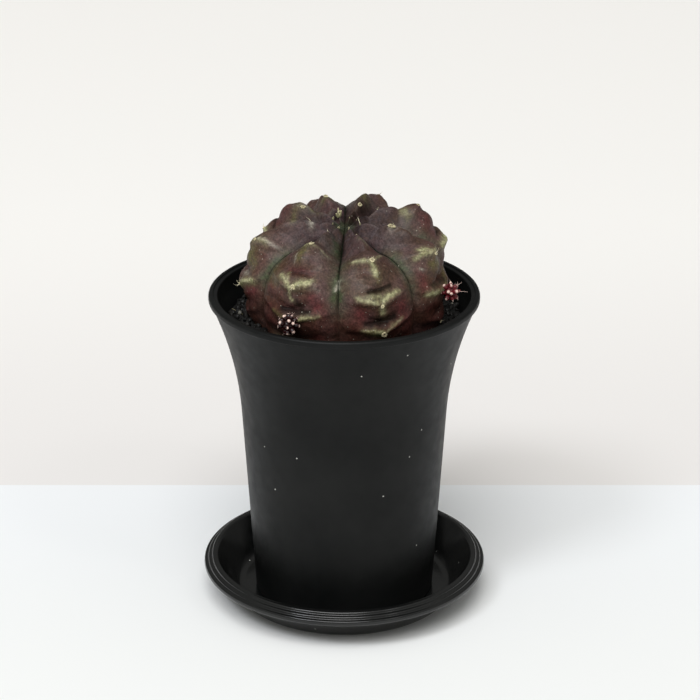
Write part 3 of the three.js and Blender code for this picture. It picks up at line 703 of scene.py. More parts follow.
def damp_bark_mix(name, settings):
    """Fine composted bark and peat, sieved and watered: almost black crumbs, some browner or
    bluish, with a wet glint here and there, and a few grains of pale grit."""
    material, tree = new_material(name)
    place = add_node(tree, "ShaderNodeTexCoord").outputs["Object"]
    shade = add_node(tree, "ShaderNodeAttribute", attribute_name="shade").outputs["Fac"]
    fine = add_node(tree, "ShaderNodeTexNoise", {"Vector": place, "Scale": per_mm(0.7), "Detail": 5.0})
    bark = add_node(tree, "ShaderNodeMix", {0: shade, 6: rgba(settings.damp), 7: rgba(settings.bark)},
                    data_type="RGBA")
    pale = add_node(tree, "ShaderNodeMath", {0: shade, 1: 0.975}, operation="GREATER_THAN")
    gritty = add_node(tree, "ShaderNodeMix", {
        0: pale.outputs[0], 6: bark.outputs[2], 7: rgba(settings.grit)}, data_type="RGBA")
    mottle = add_node(tree, "ShaderNodeMapRange", {
        "Value": fine.outputs["Fac"], "From Min": 0.3, "From Max": 0.7, "To Min": 0.35, "To Max": 1.5})
    mottled = add_node(tree, "ShaderNodeVectorMath", {0: gritty.outputs[2], 1: mottle.outputs[0]},
                       operation="MULTIPLY")
    rough = add_node(tree, "ShaderNodeMapRange", {
        "Value": fine.outputs["Fac"], "From Min": 0.3, "From Max": 0.65, "To Min": 0.25, "To Max": 0.9})
    bump = add_node(tree, "ShaderNodeBump", {
        "Height": fine.outputs["Fac"], "Strength": 0.8, "Distance": 0.3 * MM})
    shader = add_node(tree, "ShaderNodeBsdfPrincipled", {
        "Base Color": mottled.outputs[0], "Roughness": rough.outputs[0], "Normal": bump.outputs[0],
        "IOR": 1.4})
    add_node(tree, "ShaderNodeOutputMaterial", {"Surface": shader.outputs[0]})
    return material


def waxy_epidermis(name, settings):
    """Living cactus skin with its own thin wax: a greyish purple brown that shows deep red and yellow green
    where the skin is stretched, in soft mottled layers, with a dull satin gloss. Shade is painted dark into
    the creases and the grooves, where the gloss is also taken away, and some highlights and a sheen beside
    the grooves are painted pale."""
    material, tree = new_material(name)
    place = add_node(tree, "ShaderNodeTexCoord").outputs["Object"]
    # patches, mottles, flecks and pores; real pores are under 0.1 mm wide and drawn coarser to show
    patchy, mottled, flecked, pored = [
        add_node(tree, "ShaderNodeTexNoise", {
            "Vector": place, "Scale": per_mm(size), "Detail": detail, "Distortion": bent}).outputs["Fac"]
        for size, detail, bent in [(6.0, 4.0, 0.4), (1.8, 4.0, 0.6), (1.0, 4.0, 0.2), (0.45, 3.0, 0.0)]
    ]
    sharper = {}
    for key, source, low, high in [("patchy", patchy, 0.38, 0.62), ("mottled", mottled, 0.36, 0.64)]:
        sharper[key] = add_node(tree, "ShaderNodeMapRange", {
            "Value": source, "From Min": low, "From Max": high}).outputs[0]
    shade = add_node(tree, "ShaderNodeMix", {
        0: sharper["patchy"], 6: rgba(settings.skin), 7: rgba(settings.earth)}, data_type="RGBA").outputs[2]
    cloudy = add_node(tree, "ShaderNodeMapRange", {
        "Value": mottled, "From Min": 0.25, "From Max": 0.8}).outputs[0]
    band = add_node(tree, "ShaderNodeMix", {
        0: cloudy, 6: rgba(settings.band), 7: rgba(settings.band_pale)}, data_type="RGBA").outputs[2]
    # each layer of pigment: its mask, the mottling that breaks it up, how little and how much of the mask
    # that leaves, and its colour. The layer of the creases is painted shade, the groove line partly painted
    # shade, and the wax and groove-side layers partly a painted highlight and sheen
    layers = [
        ("crown", "mottled", 0.35, 1.0, settings.crown), ("low", "patchy", 0.6, 1.0, settings.low),
        ("brown", "mottled", 0.5, 1.0, settings.earth), ("blush", "patchy", 0.55, 1.0, settings.blush),
        ("sheen", "mottled", 0.45, 0.85, settings.sheen), ("olive", "mottled", 0.5, 1.0, settings.olive),
        ("moss", "mottled", 0.5, 1.0, settings.moss), ("wax", "mottled", 0.3, 1.0, settings.wax),
        ("crease", "patchy", 0.85, 1.0, settings.crease), ("pale", "patchy", 0.7, 1.0, None),
        ("furrow", "patchy", 0.9, 1.0, settings.furrow),
    ]
    # the gloss is taken away where the painted shade of the creases and the groove line lies, and on the
    # low skin
    dull = 0.0
    for mask, mottling, least, most, colour in layers:
        held = add_node(tree, "ShaderNodeMapRange", {
            "Value": sharper[mottling], "To Min": least, "To Max": most}).outputs[0]
        painted = add_node(tree, "ShaderNodeAttribute", attribute_name=mask).outputs["Fac"]
        amount = add_node(tree, "ShaderNodeMath", {0: painted, 1: held}, operation="MULTIPLY",
                          use_clamp=True).outputs[0]
        shade = add_node(tree, "ShaderNodeMix", {
            0: amount, 6: shade, 7: rgba(colour) if colour else band}, data_type="RGBA").outputs[2]
        if mask in ("crease", "furrow", "low"):
            dull = add_node(tree, "ShaderNodeMath", {0: amount, 1: dull}, operation="MAXIMUM").outputs[0]
    gloss = add_node(tree, "ShaderNodeMapRange", {
        "Value": dull, "To Min": 0.36, "To Max": 0.1}).outputs[0]
    # scattered grains of wax and dust, under 0.3 mm across, most of them round the cushions
    cells = add_node(tree, "ShaderNodeTexVoronoi", {"Vector": place, "Scale": per_mm(0.85)})
    close = add_node(tree, "ShaderNodeMath", {0: cells.outputs["Distance"], 1: 0.17},
                     operation="LESS_THAN")
    chosen = add_node(tree, "ShaderNodeSeparateColor", {"Color": cells.outputs["Color"]})
    dusty = add_node(tree, "ShaderNodeAttribute", attribute_name="dusty").outputs["Fac"]
    share = add_node(tree, "ShaderNodeMapRange", {
        "Value": dusty, "To Min": 0.05, "To Max": 0.6}).outputs[0]
    some = add_node(tree, "ShaderNodeMath", {0: chosen.outputs["Green"], 1: share},
                    operation="LESS_THAN")
    speck = add_node(tree, "ShaderNodeMath", {0: close.outputs[0], 1: some.outputs[0]},
                     operation="MULTIPLY")
    thin = add_node(tree, "ShaderNodeMath", {0: speck.outputs[0], 1: 0.6}, operation="MULTIPLY")
    shade = add_node(tree, "ShaderNodeMix", {0: thin.outputs[0], 6: shade, 7: rgba(settings.wax)},
                     data_type="RGBA").outputs[2]
    depth = add_node(tree, "ShaderNodeMapRange", {
        "Value": flecked, "From Min": 0.35, "From Max": 0.65, "To Min": 0.74, "To Max": 1.2}).outputs[0]
    grainy = add_node(tree, "ShaderNodeMapRange", {
        "Value": pored, "From Min": 0.3, "From Max": 0.7, "To Min": 0.66, "To Max": 1.36}).outputs[0]
    depth = add_node(tree, "ShaderNodeMath", {0: depth, 1: grainy}, operation="MULTIPLY").outputs[0]
    shade = add_node(tree, "ShaderNodeVectorMath", {0: shade, 1: depth}, operation="MULTIPLY").outputs[0]
    rough = add_node(tree, "ShaderNodeMapRange", {
        "Value": mottled, "From Min": 0.3, "From Max": 0.7, "To Min": 0.4, "To Max": 0.6}).outputs[0]
    rolling = add_node(tree, "ShaderNodeBump", {
        "Height": mottled, "Strength": 0.5, "Distance": 0.4 * MM}).outputs[0]
    bump = add_node(tree, "ShaderNodeBump", {
        "Height": pored, "Strength": 0.4, "Distance": 0.12 * MM, "Normal": rolling}).outputs[0]
    shader = add_node(tree, "ShaderNodeBsdfPrincipled", {
        "Base Color": shade, "Roughness": rough, "Normal": bump, "IOR": 1.38,
        "Specular IOR Level": gloss})
    add_node(tree, "ShaderNodeOutputMaterial", {"Surface": shader.outputs[0]})
    return material


def offset_epidermis(name, settings, strength, tip_from):
    """Young offset skin, tight and without chlorophyll: a clear deep red with a moist gloss, which
    fades to pinkish white at the tip of each tubercle."""
    material, tree = new_material(name)
    place = add_node(tree, "ShaderNodeTexCoord").outputs["Object"]
    tip = add_node(tree, "ShaderNodeAttribute", attribute_name="shade").outputs["Fac"]
    mottled = add_node(tree, "ShaderNodeTexNoise", {"Vector": place, "Scale": per_mm(1.1), "Detail": 3.0})
    depth = add_node(tree, "ShaderNodeMapRange", {
        "Value": mottled.outputs["Fac"], "From Min": 0.3, "From Max": 0.7,
        "To Min": 0.35 * strength, "To Max": 1.1 * strength})
    red = add_node(tree, "ShaderNodeVectorMath", {0: rgba(settings.head)[:3], 1: depth.outputs[0]},
                   operation="MULTIPLY")
    soft = add_node(tree, "ShaderNodeMapRange", {
        "Value": tip, "From Min": tip_from, "From Max": tip_from + 0.3})
    shade = add_node(tree, "ShaderNodeMix", {
        0: soft.outputs[0], 6: red.outputs[0], 7: rgba(settings.head_tip)}, data_type="RGBA")
    bump = add_node(tree, "ShaderNodeBump", {
        "Height": mottled.outputs["Fac"], "Strength": 0.2, "Distance": 0.1 * MM})
    shader = add_node(tree, "ShaderNodeBsdfPrincipled", {
        "Base Color": shade.outputs[2], "Roughness": 0.34, "Normal": bump.outputs[0], "IOR": 1.43})
    add_node(tree, "ShaderNodeOutputMaterial", {"Surface": shader.outputs[0]})
    return material


def plant_fibre(name, dark, light, roughness):
    """Dead plant hair, such as wool, spines and root fibre, dried in the air: pale and dull, darker
    where it is old. Its streaks are drawn 0.4 mm wide, because real fibres are too fine to show."""
    material, tree = new_material(name)
    place = add_node(tree, "ShaderNodeTexCoord").outputs["Object"]
    shade = add_node(tree, "ShaderNodeAttribute", attribute_name="shade").outputs["Fac"]
    streak = add_node(tree, "ShaderNodeTexNoise", {"Vector": place, "Scale": per_mm(0.4), "Detail": 2.0})
    age = add_node(tree, "ShaderNodeMath", {0: shade, 1: streak.outputs["Fac"]}, operation="ADD")
    share = add_node(tree, "ShaderNodeMapRange", {
        "Value": age.outputs[0], "From Min": 0.4, "From Max": 1.3})
    colour = add_node(tree, "ShaderNodeMix", {0: share.outputs[0], 6: rgba(dark), 7: rgba(light)},
                      data_type="RGBA")
    shader = add_node(tree, "ShaderNodeBsdfPrincipled", {
        "Base Color": colour.outputs[2], "Roughness": roughness, "IOR": 1.5, "Sheen Weight": 0.2})
    add_node(tree, "ShaderNodeOutputMaterial", {"Surface": shader.outputs[0]})
    return material


def matte_board(name, at_line, away, reach):
    """Painted board, rolled matte: an even white that is a little darker towards the line where two boards
    meet, which is painted shade, with a barely visible roller texture, drawn twice as wide as the real one."""
    material, tree = new_material(name)
    place = add_node(tree, "ShaderNodeTexCoord").outputs["Object"]
    parts = add_node(tree, "ShaderNodeSeparateXYZ", {0: place})
    past = add_node(tree, "ShaderNodeMath", {0: parts.outputs["Y"], 1: BACKDROP_Y * MM},
                    operation="SUBTRACT")
    apart = add_node(tree, "ShaderNodeMath", {0: past.outputs[0]}, operation="ABSOLUTE")
    share = add_node(tree, "ShaderNodeMapRange", {"Value": apart.outputs[0], "From Max": reach * MM},
                     interpolation_type="SMOOTHSTEP")
    colour = add_node(tree, "ShaderNodeMix", {0: share.outputs[0], 6: rgba(at_line), 7: rgba(away)},
                      data_type="RGBA")
    roller = add_node(tree, "ShaderNodeTexNoise", {"Vector": place, "Scale": per_mm(4), "Detail": 3.0})
    bump = add_node(tree, "ShaderNodeBump", {
        "Height": roller.outputs["Fac"], "Strength": 0.05, "Distance": 0.1 * MM})
    shader = add_node(tree, "ShaderNodeBsdfPrincipled", {
        "Base Color": colour.outputs[2], "Roughness": 0.85, "Normal": bump.outputs[0],
        "Specular IOR Level": 0.2})
    add_node(tree, "ShaderNodeOutputMaterial", {"Surface": shader.outputs[0]})
    return material


# ---------------------------------------------------------------- the plant's form

def crest_samples():
    """The crest as a smooth curve through its points: distances, places and directions."""
    line = np.array(CREST_LINE, float)
    line = np.vstack([line[:1], line, line[-1:]])
    t = np.linspace(0, 1, CREST_STEPS, endpoint=False)[:, None]
    spans = []
    for p0, p1, p2, p3 in zip(line, line[1:], line[2:], line[3:]):
        v1 = (p2 - p0) / 2
        v2 = (p3 - p1) / 2
        cubic = 2 * p1 - 2 * p2 + v1 + v2
        square = 3 * p2 - 3 * p1 - 2 * v1 - v2
        spans.append(cubic * t**3 + square * t**2 + v1 * t + p1)
    places = np.vstack([*spans, line[-1:]])
    steps_taken = np.linalg.norm(np.diff(places, axis=0), axis=1)
    distances = np.concatenate([[0], np.cumsum(steps_taken)])
    return distances, places, unit(np.gradient(places, distances, axis=0))


CREST_DISTANCES, CREST_PLACES, CREST_DIRECTIONS = crest_samples()
CREST_ANGLES = np.array([angle for angle, _, _ in RIBS])
CUSHIONS = np.array([cushions for _, _, cushions in RIBS])
STANDS = np.array([[0, *stands, stands[2], 0] for _, stands, _ in RIBS])
ABOVE = np.hstack([np.zeros((len(RIBS), 1)), CUSHIONS[:, :-1]])
# Distances along each crest of its creases, between the growing point and the root's tip
STOPS = np.hstack([
    np.zeros((len(RIBS), 1)),
    CUSHIONS - CREASE_SHARE * (CUSHIONS - ABOVE),
    CUSHIONS[:, -1:] + LAST_CREASE,
    np.full((len(RIBS), 1), CREST_DISTANCES[-1]),
])
LAST_ROW = STOPS.shape[1] - 1


def row_distance(rib, row):
    """Distance along a rib's crest for a row number: whole numbers are creases."""
    start = np.minimum(np.floor(row).astype(int), LAST_ROW - 1)
    return mix(STOPS[rib, start], STOPS[rib, start + 1], row - start)


def cushion_row(rib, cushion):
    start, end = STOPS[rib, cushion + 1], STOPS[rib, cushion + 2]
    return cushion + 1 + (CUSHIONS[rib, cushion] - start) / (end - start)


def standing(rib, distance):
    """Height of each rib's crest above the crest line."""
    made = np.zeros(np.shape(distance))
    for k, stands in enumerate(STANDS):
        made = np.where(rib == k, np.interp(distance, STANDS_AT, stands), made)
    return made


def leaned(points):
    """Points turned by the plant's lean about the place where it leaves the mix."""
    x, y, z = (points - [0, 0, STEM[2]]).T
    forward, left = math.radians(LEAN_FORWARD), math.radians(-LEAN_LEFT)
    y, z = y * math.cos(forward) - z * math.sin(forward), y * math.sin(forward) + z * math.cos(forward)
    x, z = x * math.cos(left) + z * math.sin(left), z * math.cos(left) - x * math.sin(left)
    return np.stack([x, y, z], -1) + STEM


def skin(rib, across, row, outward=0.0):
    """Points on the plant's skin for arrays of ribs, places across them and rows.

    across runs from -1 in the groove before a crest to 1 in the groove after it. Returns the
    points and their distances along the crest."""
    near = np.abs(across)
    neighbour = (rib + np.where(across < 0, -1, 1)) % len(RIBS)
    share = 0.5 * near**2
    level = mix(row_distance(rib, row), row_distance(neighbour, row), share)
    distance = np.maximum(level - near * along(BULGE_VEE, level), 0)
    height = mix(standing(rib, distance), standing(neighbour, distance), share) + outward
    (soft_from, soft_least), (soft_to, soft_most) = FLANK_SOFTNESS
    soft = mix(soft_least, soft_most, smoothstep(distance, soft_from, soft_to))
    full = np.maximum(1 - near ** along(FLANK_ROUNDNESS, distance), 0) ** soft
    tent = 1 - near**CREST_SHARPNESS
    deep = along(GROOVE_DEPTH, distance) * GROOVE_SHARES[np.where(across < 0, rib, rib + 1)]
    height = height - deep * (1 - mix(tent, full, smoothstep(distance, *SECTION_CHANGE)))
    valley = mix(*CREASE_BLUNTNESS, smoothstep(near, 0.1, 0.5))
    bulge = np.where((row < 1) | (row > LAST_ROW - 1), 0, np.abs(np.sin(math.pi * row)) ** valley)
    height = height + along(BULGE_HEIGHT, distance) * bulge * (1 - near**2) ** BULGE_FALL
    line = [np.interp(distance, CREST_DISTANCES, CREST_PLACES[:, i]) for i in (0, 1)]
    ahead = [np.interp(distance, CREST_DISTANCES, CREST_DIRECTIONS[:, i]) for i in (0, 1)]
    radius = np.maximum(line[0] - ahead[1] * height, 0)
    groove = np.take(GROOVES, np.where(across < 0, rib, rib + 1))
    angle = np.radians(mix(CREST_ANGLES[rib], groove, near))
    points = np.stack([radius * np.sin(angle), -radius * np.cos(angle), line[1] + ahead[0] * height], -1)
    return leaned(points.reshape(-1, 3)).reshape(points.shape), distance


def spot_on_skin(rib, row, across):
    """Place and outward direction of one spot on the skin."""
    def at(sideways, down):
        return skin(np.array([rib]), np.array([across + sideways]), np.array([row + down]))[0][0]
    normal = unit(np.cross(at(0, 0.12) - at(0, -0.12), at(0.1, 0) - at(-0.1, 0)))
    return at(0, 0), normal


def grain(beside, distance, rib, wide, tall):
    """Noise on the skin, about -1 to 1, with features of a size in mm across and down the rib.

    A number added to the ribs gives another grain of the same kind."""
    spots = zip((beside / wide).ravel(), (distance / tall).ravel(), (rib * 7.3).ravel())
    return np.array([noise.noise(Vector(spot)) for spot in spots]).reshape(beside.shape)


def from_line(beside, distance, line):
    """Distance in mm on the skin from a broken line."""
    nearest = np.full(beside.shape, 99.0)
    for (b0, d0), (b1, d1) in zip(line, line[1:]):
        along_b, along_d = b1 - b0, d1 - d0
        t = ((beside - b0) * along_b + (distance - d0) * along_d) / (along_b**2 + along_d**2)
        t = np.clip(t, 0, 1)
        nearest = np.minimum(nearest, np.hypot(beside - b0 - t * along_b, distance - d0 - t * along_d))
    return nearest


def chance_strokes():
    """Marks like those of the list, for the cushions that it leaves out."""
    random = np.random.default_rng(MARKS_SEED)
    made = []
    for rib, cushions in enumerate(CUSHIONS):
        for i, c in enumerate(cushions):
            if c < MARKED_DOWN_TO[rib]:
                continue
            pinch = c - PINCH_SHARE * (c - cushions[i - 1])
            for side, rise in zip((-1, 1), CHIN_RISE[rib]):
                reach = random.uniform(4.0, 7.0)
                lift = rise * random.uniform(0.4, 0.8)
                bend = (side * reach * 0.4, c - 0.7 - lift * 0.7)
                end = (side * reach, c - 0.7 - lift)
                wide = random.uniform(0.5, 1.0)
                made.append(("pale", rib, random.uniform(0.6, 1), wide, [(0, c - 0.6), bend, end]))
                made.append(("blush", rib, random.uniform(0.5, 1), 1.8,
                             [(side * 4.6, c + 1.6), (side * 5.6, c + 4.2)]))
            made.append(("pale", rib, random.uniform(0.4, 0.8), 0.5, [(0.1, c + 0.4), (0.4, c + 3.2)]))
            # painted shade across each pinch and in the hollow under each chin
            made.append(("crease", rib, 0.9, 0.55, [(-3.2, pinch), (3.2, pinch)]))
            made.append(("crease", rib, 0.7, 1.2, [(-1.8, c + 2.8), (1.8, c + 2.8)]))
    return made


def bulge_marks(rib, across, row, distance):
    """Relief in mm and pigment masks of the skin, from each point's place on its bulge."""
    near = np.abs(across)
    bulge = np.clip(np.floor(row).astype(int), 1, LAST_ROW - 2)
    cushion = np.clip(bulge - 1, 0, CUSHIONS.shape[1] - 1)
    groove = np.take(GROOVES, np.where(across < 0, rib, rib + 1))
    girth = np.interp(distance, CREST_DISTANCES, CREST_PLACES[:, 0])
    half_width = np.radians(np.abs(groove - CREST_ANGLES[rib])) * girth
    beside = across * half_width
    rise = CHIN_RISE[rib, (across > 0).astype(int)] * near**CHIN_RISE_BEND
    on_bulge = (row >= 1) & (row < LAST_ROW - 1)

    # relief: the chins and the hollows under them, broken up by noise, and the pinches
    slow = grain(beside, distance, rib, 5.0, 3.0)
    quick = grain(beside, distance, rib + 20, 1.6, 1.1)
    streaks = grain(beside, distance, rib + 40, 2.6, 0.55)
    below = distance - CUSHIONS[rib, cushion] + rise + 0.5 * slow
    below = np.where(on_bulge, below, 99.0)
    strong = along(CHIN_HEIGHT, distance) * (1 - near**2.5) * (0.9 + 0.5 * slow + 0.2 * quick)
    chin = np.where(below > 0, bell(below, CHIN_BELOW), bell(below, CHIN_ABOVE))
    relief = strong * (chin - HOLLOW_SHARE * bell(below - HOLLOW_AT, HOLLOW_WIDTH))
    for k, cushions in enumerate(CUSHIONS):
        for i in range(1, len(cushions)):
            pinch = cushions[i] - PINCH_SHARE * (cushions[i] - cushions[i - 1])
            lens = bell(distance - pinch, PINCH_WIDTH) * bell(beside, PINCH_HALF_LENGTH)
            fade = smoothstep(pinch, 18, 28) * (1 - smoothstep(pinch, 50, 58))
            relief = relief - np.where(rib == k, PINCH_DEPTH * fade * lens, 0)

    # masks that are alike on all ribs: beside and in the grooves, round the growing point, near the
    # mix, and for dust round the cushions
    masks = {name: np.zeros(row.shape) for name in MASKS}
    from_groove = (1 - near) * half_width
    # grey green beside the grooves: partly the skin's green, partly a painted sheen
    masks["sheen"] = bell(from_groove, 2.6) * smoothstep(distance, 10, 22) * (0.8 + 0.4 * slow)
    masks["sheen"] = masks["sheen"] * (1 - 0.85 * smoothstep(distance, 31, 40))
    # the dark line in the grooves: partly their dark green, partly painted shade
    line_width = along(FURROW_WIDTH, distance)
    masks["furrow"] = 1.2 * bell(from_groove, line_width) * (1 - 0.75 * smoothstep(distance, 30, 38))
    masks["crown"] = 0.9 * (1 - smoothstep(distance, 8, 22))
    # painted shade in the valley bottoms near the top and in the pit at the growing point, which also gets
    # its real green
    valley_shade = 0.85 * (1 - smoothstep(distance, 9, 18)) * smoothstep(near + 0.1 * slow, 0.68, 0.96)
    centre = 1 - smoothstep(distance + 0.6 * quick, 1.8, 4.2)
    masks["crease"] = np.maximum(0.4 * centre, valley_shade)
    masks["moss"] = 0.8 * centre
    masks["low"] = smoothstep(distance + 2.2 * slow, 27, 39)
    masks["blush"] = 0.3 * smoothstep(distance, 18, 30) * smoothstep(slow, -0.1, 0.5)
    gaps = np.abs(distance[..., None] - CUSHIONS[rib]).min(-1)
    masks["dusty"] = bell(gaps, 3.2) * bell(beside, 5.5) * smoothstep(distance, 12, 26)
    # the strokes, bent and frayed so that no edge is straight
    whiskers = grain(beside + 0.3 * distance, distance, rib + 80, 0.5, 1.7)
    bent_beside = beside + 0.55 * quick
    bent_distance = distance + 0.3 * grain(beside, distance, rib + 60, 1.3, 1.3)
    uneven = 1 + 0.28 * streaks
    for name, which, strength, wide, line in STROKES + chance_strokes():
        spread = from_line(bent_beside, bent_distance, line)
        if name in ("pale", "wax"):
            spread = np.maximum(spread + 0.75 * wide * whiskers, 0)
        spot = strength * uneven / (1 + (spread / wide) ** 2.8)
        masks[name] = np.maximum(masks[name], np.where(rib == which, spot, 0))
    return relief, masks


# ---------------------------------------------------------------- pot and saucer

def pot_radius(z):
    """Outer radius of the pot's wall at a height."""
    if z <= POT_FLARE_Z:
        return POT_TAPER_R + POT_TAPER * z
    start = math.atan(POT_TAPER)
    turn = math.asin(math.sin(start) + (z - POT_FLARE_Z) / POT_FLARE_ARC)
    return POT_TAPER_R + POT_TAPER * POT_FLARE_Z + POT_FLARE_ARC * (math.cos(start) - math.cos(turn))


def flare_line(top, inward):
    """(radius, height, no fillet) points up the wall's arc, moved in by an amount."""
    heights = np.linspace(POT_FLARE_Z, top, POT_FLARE_STEPS)
    return [(pot_radius(z) - inward, z, 0) for z in heights]


def saucer_outline(rim, height):
    """Rounded outline of the saucer: its foot, its sloping side, the ridges on its rim and its lip."""
    run = rim - SAUCER_LIP_R
    fall = height - SAUCER_RIM_EDGE_Z
    steps = []
    for i in range(SAUCER_RIDGES):
        outer = rim - 0.1 - i * run / (SAUCER_RIDGES + 0.2)
        low = SAUCER_RIM_EDGE_Z + i * fall / SAUCER_RIDGES
        steps += [(outer - 0.05, low + 0.7, 0.4), (outer - 0.95, low + 0.72, 0.3)]
    return rounded([
        (0, 0, 0), (SAUCER_FOOT_R - 3, 0, 0), (SAUCER_FOOT_R, 0, 0.4), (SAUCER_FOOT_R + 1.4, 0.9, 0.8),
        (SAUCER_LIP_R + 0.4, SAUCER_RIM_EDGE_Z - 0.4, 0.5), (rim - 0.4, SAUCER_RIM_EDGE_Z - 0.9, 0.25),
        (rim, SAUCER_RIM_EDGE_Z - 0.5, 0.25), (rim, SAUCER_RIM_EDGE_Z, 0), *steps,
        (SAUCER_LIP_R + 0.25, height - 0.05, 0.2), (SAUCER_LIP_R, height, 0.2),
        (SAUCER_LIP_R - 0.4, height - 0.4, 0.25), (SAUCER_FOOT_R + 1.1, SAUCER_FLOOR + 1.3, 1.2),
        (SAUCER_FOOT_R + 0.1, SAUCER_FLOOR + 0.25, 0.4), (SAUCER_FOOT_R - 1.2, SAUCER_FLOOR, 0.3),
        (SAUCER_FOOT_R - 4, SAUCER_FLOOR, 0), (0, SAUCER_FLOOR, 0),
    ])


def pot_outline(rim, top):
    """Rounded outline of the pot: its foot, its flared wall, its bead with a ledge, and its floor."""
    bead = top - POT_RIM_HEIGHT
    floor_top = POT_FLOOR_Z + POT_FLOOR
    ledge = top - POT_LEDGE_DROP
    return rounded([
        (POT_HOLE_R, POT_FLOOR_Z, 0), (pot_radius(POT_FLOOR_Z) - POT_WALL, POT_FLOOR_Z, 0.3),
        (pot_radius(POT_BASE_Z) - POT_WALL, POT_BASE_Z, 0.2),
        (pot_radius(POT_BASE_Z) - 0.3, POT_BASE_Z, 0.15),
        (pot_radius(POT_BASE_Z + 0.3), POT_BASE_Z + 0.3, 0.15), *flare_line(bead, 0),
        (rim - 0.15, bead + 0.1, 0.1), (rim, bead + 0.4, 0.25), (rim, top - 0.5, 0.35),
        (rim - 0.4, top, 0.35), (POT_LAND_R, top, 0.12), (POT_LAND_R - 0.1, ledge, 0.1),
        (POT_LEDGE_R, ledge, 0.3), *flare_line(bead - 2, POT_WALL)[::-1],
        (pot_radius(floor_top + 1) - POT_WALL, floor_top + 1, 0.5),
        (pot_radius(floor_top) - POT_WALL - 1, floor_top, 0.3), (POT_HOLE_R, floor_top, 0.2),
    ])


def slot_cutter(angle):
    """Arched block that cuts a drain slot out of the foot."""
    half = SLOT_WIDTH / 2
    springing = SLOT_HEIGHT - half
    arc = [(half * math.cos(t), springing + half * math.sin(t)) for t in np.linspace(0, math.pi, 25)]
    arch = [(-half, -1), (half, -1), *arc]
    forward, right = turned(angle), turned(angle + 90)
    rings = [[right * x + forward * reach + [0, 0, POT_BASE_Z + z] for x, z in arch]
             for reach in (POT_TAPER_R + 2, POT_TAPER_R - SLOT_REACH)]
    count = len(arch)
    faces = [(i, (i + 1) % count, count + (i + 1) % count, count + i) for i in range(count)]
    faces += [tuple(range(count))[::-1], tuple(range(count, 2 * count))]
    mesh = bpy.data.meshes.new("slot_cutter")
    mesh.from_pydata((np.array(rings).reshape(-1, 3) * MM).tolist(), [], faces)
    cutter = bpy.data.objects.new("slot_cutter", mesh)
    bpy.context.scene.collection.objects.link(cutter)
    return cutter


# ---------------------------------------------------------------- potting mix

def rib_at(angle):
    """Ribs and places across them at angles from the front."""
    angle = np.mod(angle - GROOVES[0], 360) + GROOVES[0]
    rib = np.clip(np.searchsorted(GROOVES, angle, side="right") - 1, 0, len(RIBS) - 1)
    crest = CREST_ANGLES[rib]
    groove = np.take(GROOVES, np.where(angle < crest, rib, rib + 1))
    return rib, np.sign(angle - crest) * (angle - crest) / (groove - crest)


def hole_points(angle, row):
    """Points on the wall of the hole that the plant stands in."""
    rib, across = rib_at(angle)
    return skin(rib, across, row, GAP)[0]


def hole_rows(angle, z):
    """Rows at which the wall of the hole is at some heights."""
    high = np.full(np.shape(angle), 4.0)
    low = np.full(np.shape(angle), LAST_ROW - 0.5)
    for _ in range(24):
        middle = (high + low) / 2
        over = hole_points(angle, middle)[..., 2] > z
        high = np.where(over, middle, high)
        low = np.where(over, low, middle)
    return (high + low) / 2


def soil_height(angle, inward, point):
    """Height of the mix: a heap on the left, and lumps."""
    turn = (angle - SOIL_HEAP_ANGLE + 540) % 360 - 180
    heap = SOIL_HEAP * bell(turn, SOIL_HEAP_SPREAD * math.sqrt(2))
    lumps = noise.noise(Vector(point) * 0.45) * 0.9 + noise.noise(Vector(point) * 1.3) * 0.45
    return SOIL_Z + heap * inward + lumps - 0.3


def soil_surface(angles, inward):
    """Points of the mix's surface at shares of the way in from the pot's wall."""
    outer = pot_radius(SOIL_Z - SOIL_SLANT) - POT_WALL - SOIL_SIDE_GAP
    start = np.array([turned(a) * outer for a in angles])
    level = np.array([soil_height(a, s, p) for a, s, p in zip(angles, inward, start)])
    edge = hole_points(angles, hole_rows(angles, level))
    made = mix(start, edge, inward[:, None])
    made[:, 2] = [soil_height(a, s, (x, y, 0)) for a, s, (x, y, _) in zip(angles, inward, made)]
    return made


# ---------------------------------------------------------------- operators

class AddSaucer(bpy.types.Operator):
    """Adds the saucer with its ridged rim"""
    bl_idname = "cactus.add_saucer"
    bl_label = "Saucer"
    bl_options = {"REGISTER", "UNDO"}

    def execute(self, context):
        settings = context.scene.cactus_saucer
        material = moulded_polypropylene("gloss_moulded_polypropylene", settings.colour, settings.dust,
                                         settings.grain / MM, roughness=0.16, gloss=0.5)
        outline = saucer_outline(settings.rim_radius / MM, settings.height / MM)
        piece = add_piece("saucer_dish", *revolved(outline), material, SAUCER_SHARP_EDGE)
        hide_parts("saucer")
        return {"FINISHED"}


class AddPot(bpy.types.Operator):
    """Adds the flared pot with its rolled rim and drain slots"""
    bl_idname = "cactus.add_pot"
    bl_label = "Pot"
    bl_options = {"REGISTER", "UNDO"}

    def execute(self, context):
        settings = context.scene.cactus_pot
        material = moulded_polypropylene("matte_moulded_polypropylene", settings.colour, settings.dust,
                                         settings.grain / MM, roughness=0.46, gloss=0.16)
        outline = pot_outline(settings.rim_radius / MM, settings.top / MM)
        piece = add_piece("pot_shell", *revolved(outline), material)
        for angle in SLOT_ANGLES:
            cutter = slot_cutter(angle)
            cut = piece.modifiers.new("slot", "BOOLEAN")
            cut.operation = "DIFFERENCE"
            cut.solver = "EXACT"
            cut.object = cutter
            graph = context.evaluated_depsgraph_get()
            carved = bpy.data.meshes.new_from_object(piece.evaluated_get(graph))
            piece.modifiers.clear()
            piece.data = carved
            bpy.data.objects.remove(cutter)
        piece.data.shade_smooth()
        piece.data.set_sharp_from_angle(angle=math.radians(POT_SHARP_EDGE))
        if len(piece.data.vertices) < TURNED_FACETS * POT_FLARE_STEPS:
            raise RuntimeError("the drain slots cut the pot away")
        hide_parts("pot")
        return {"FINISHED"}


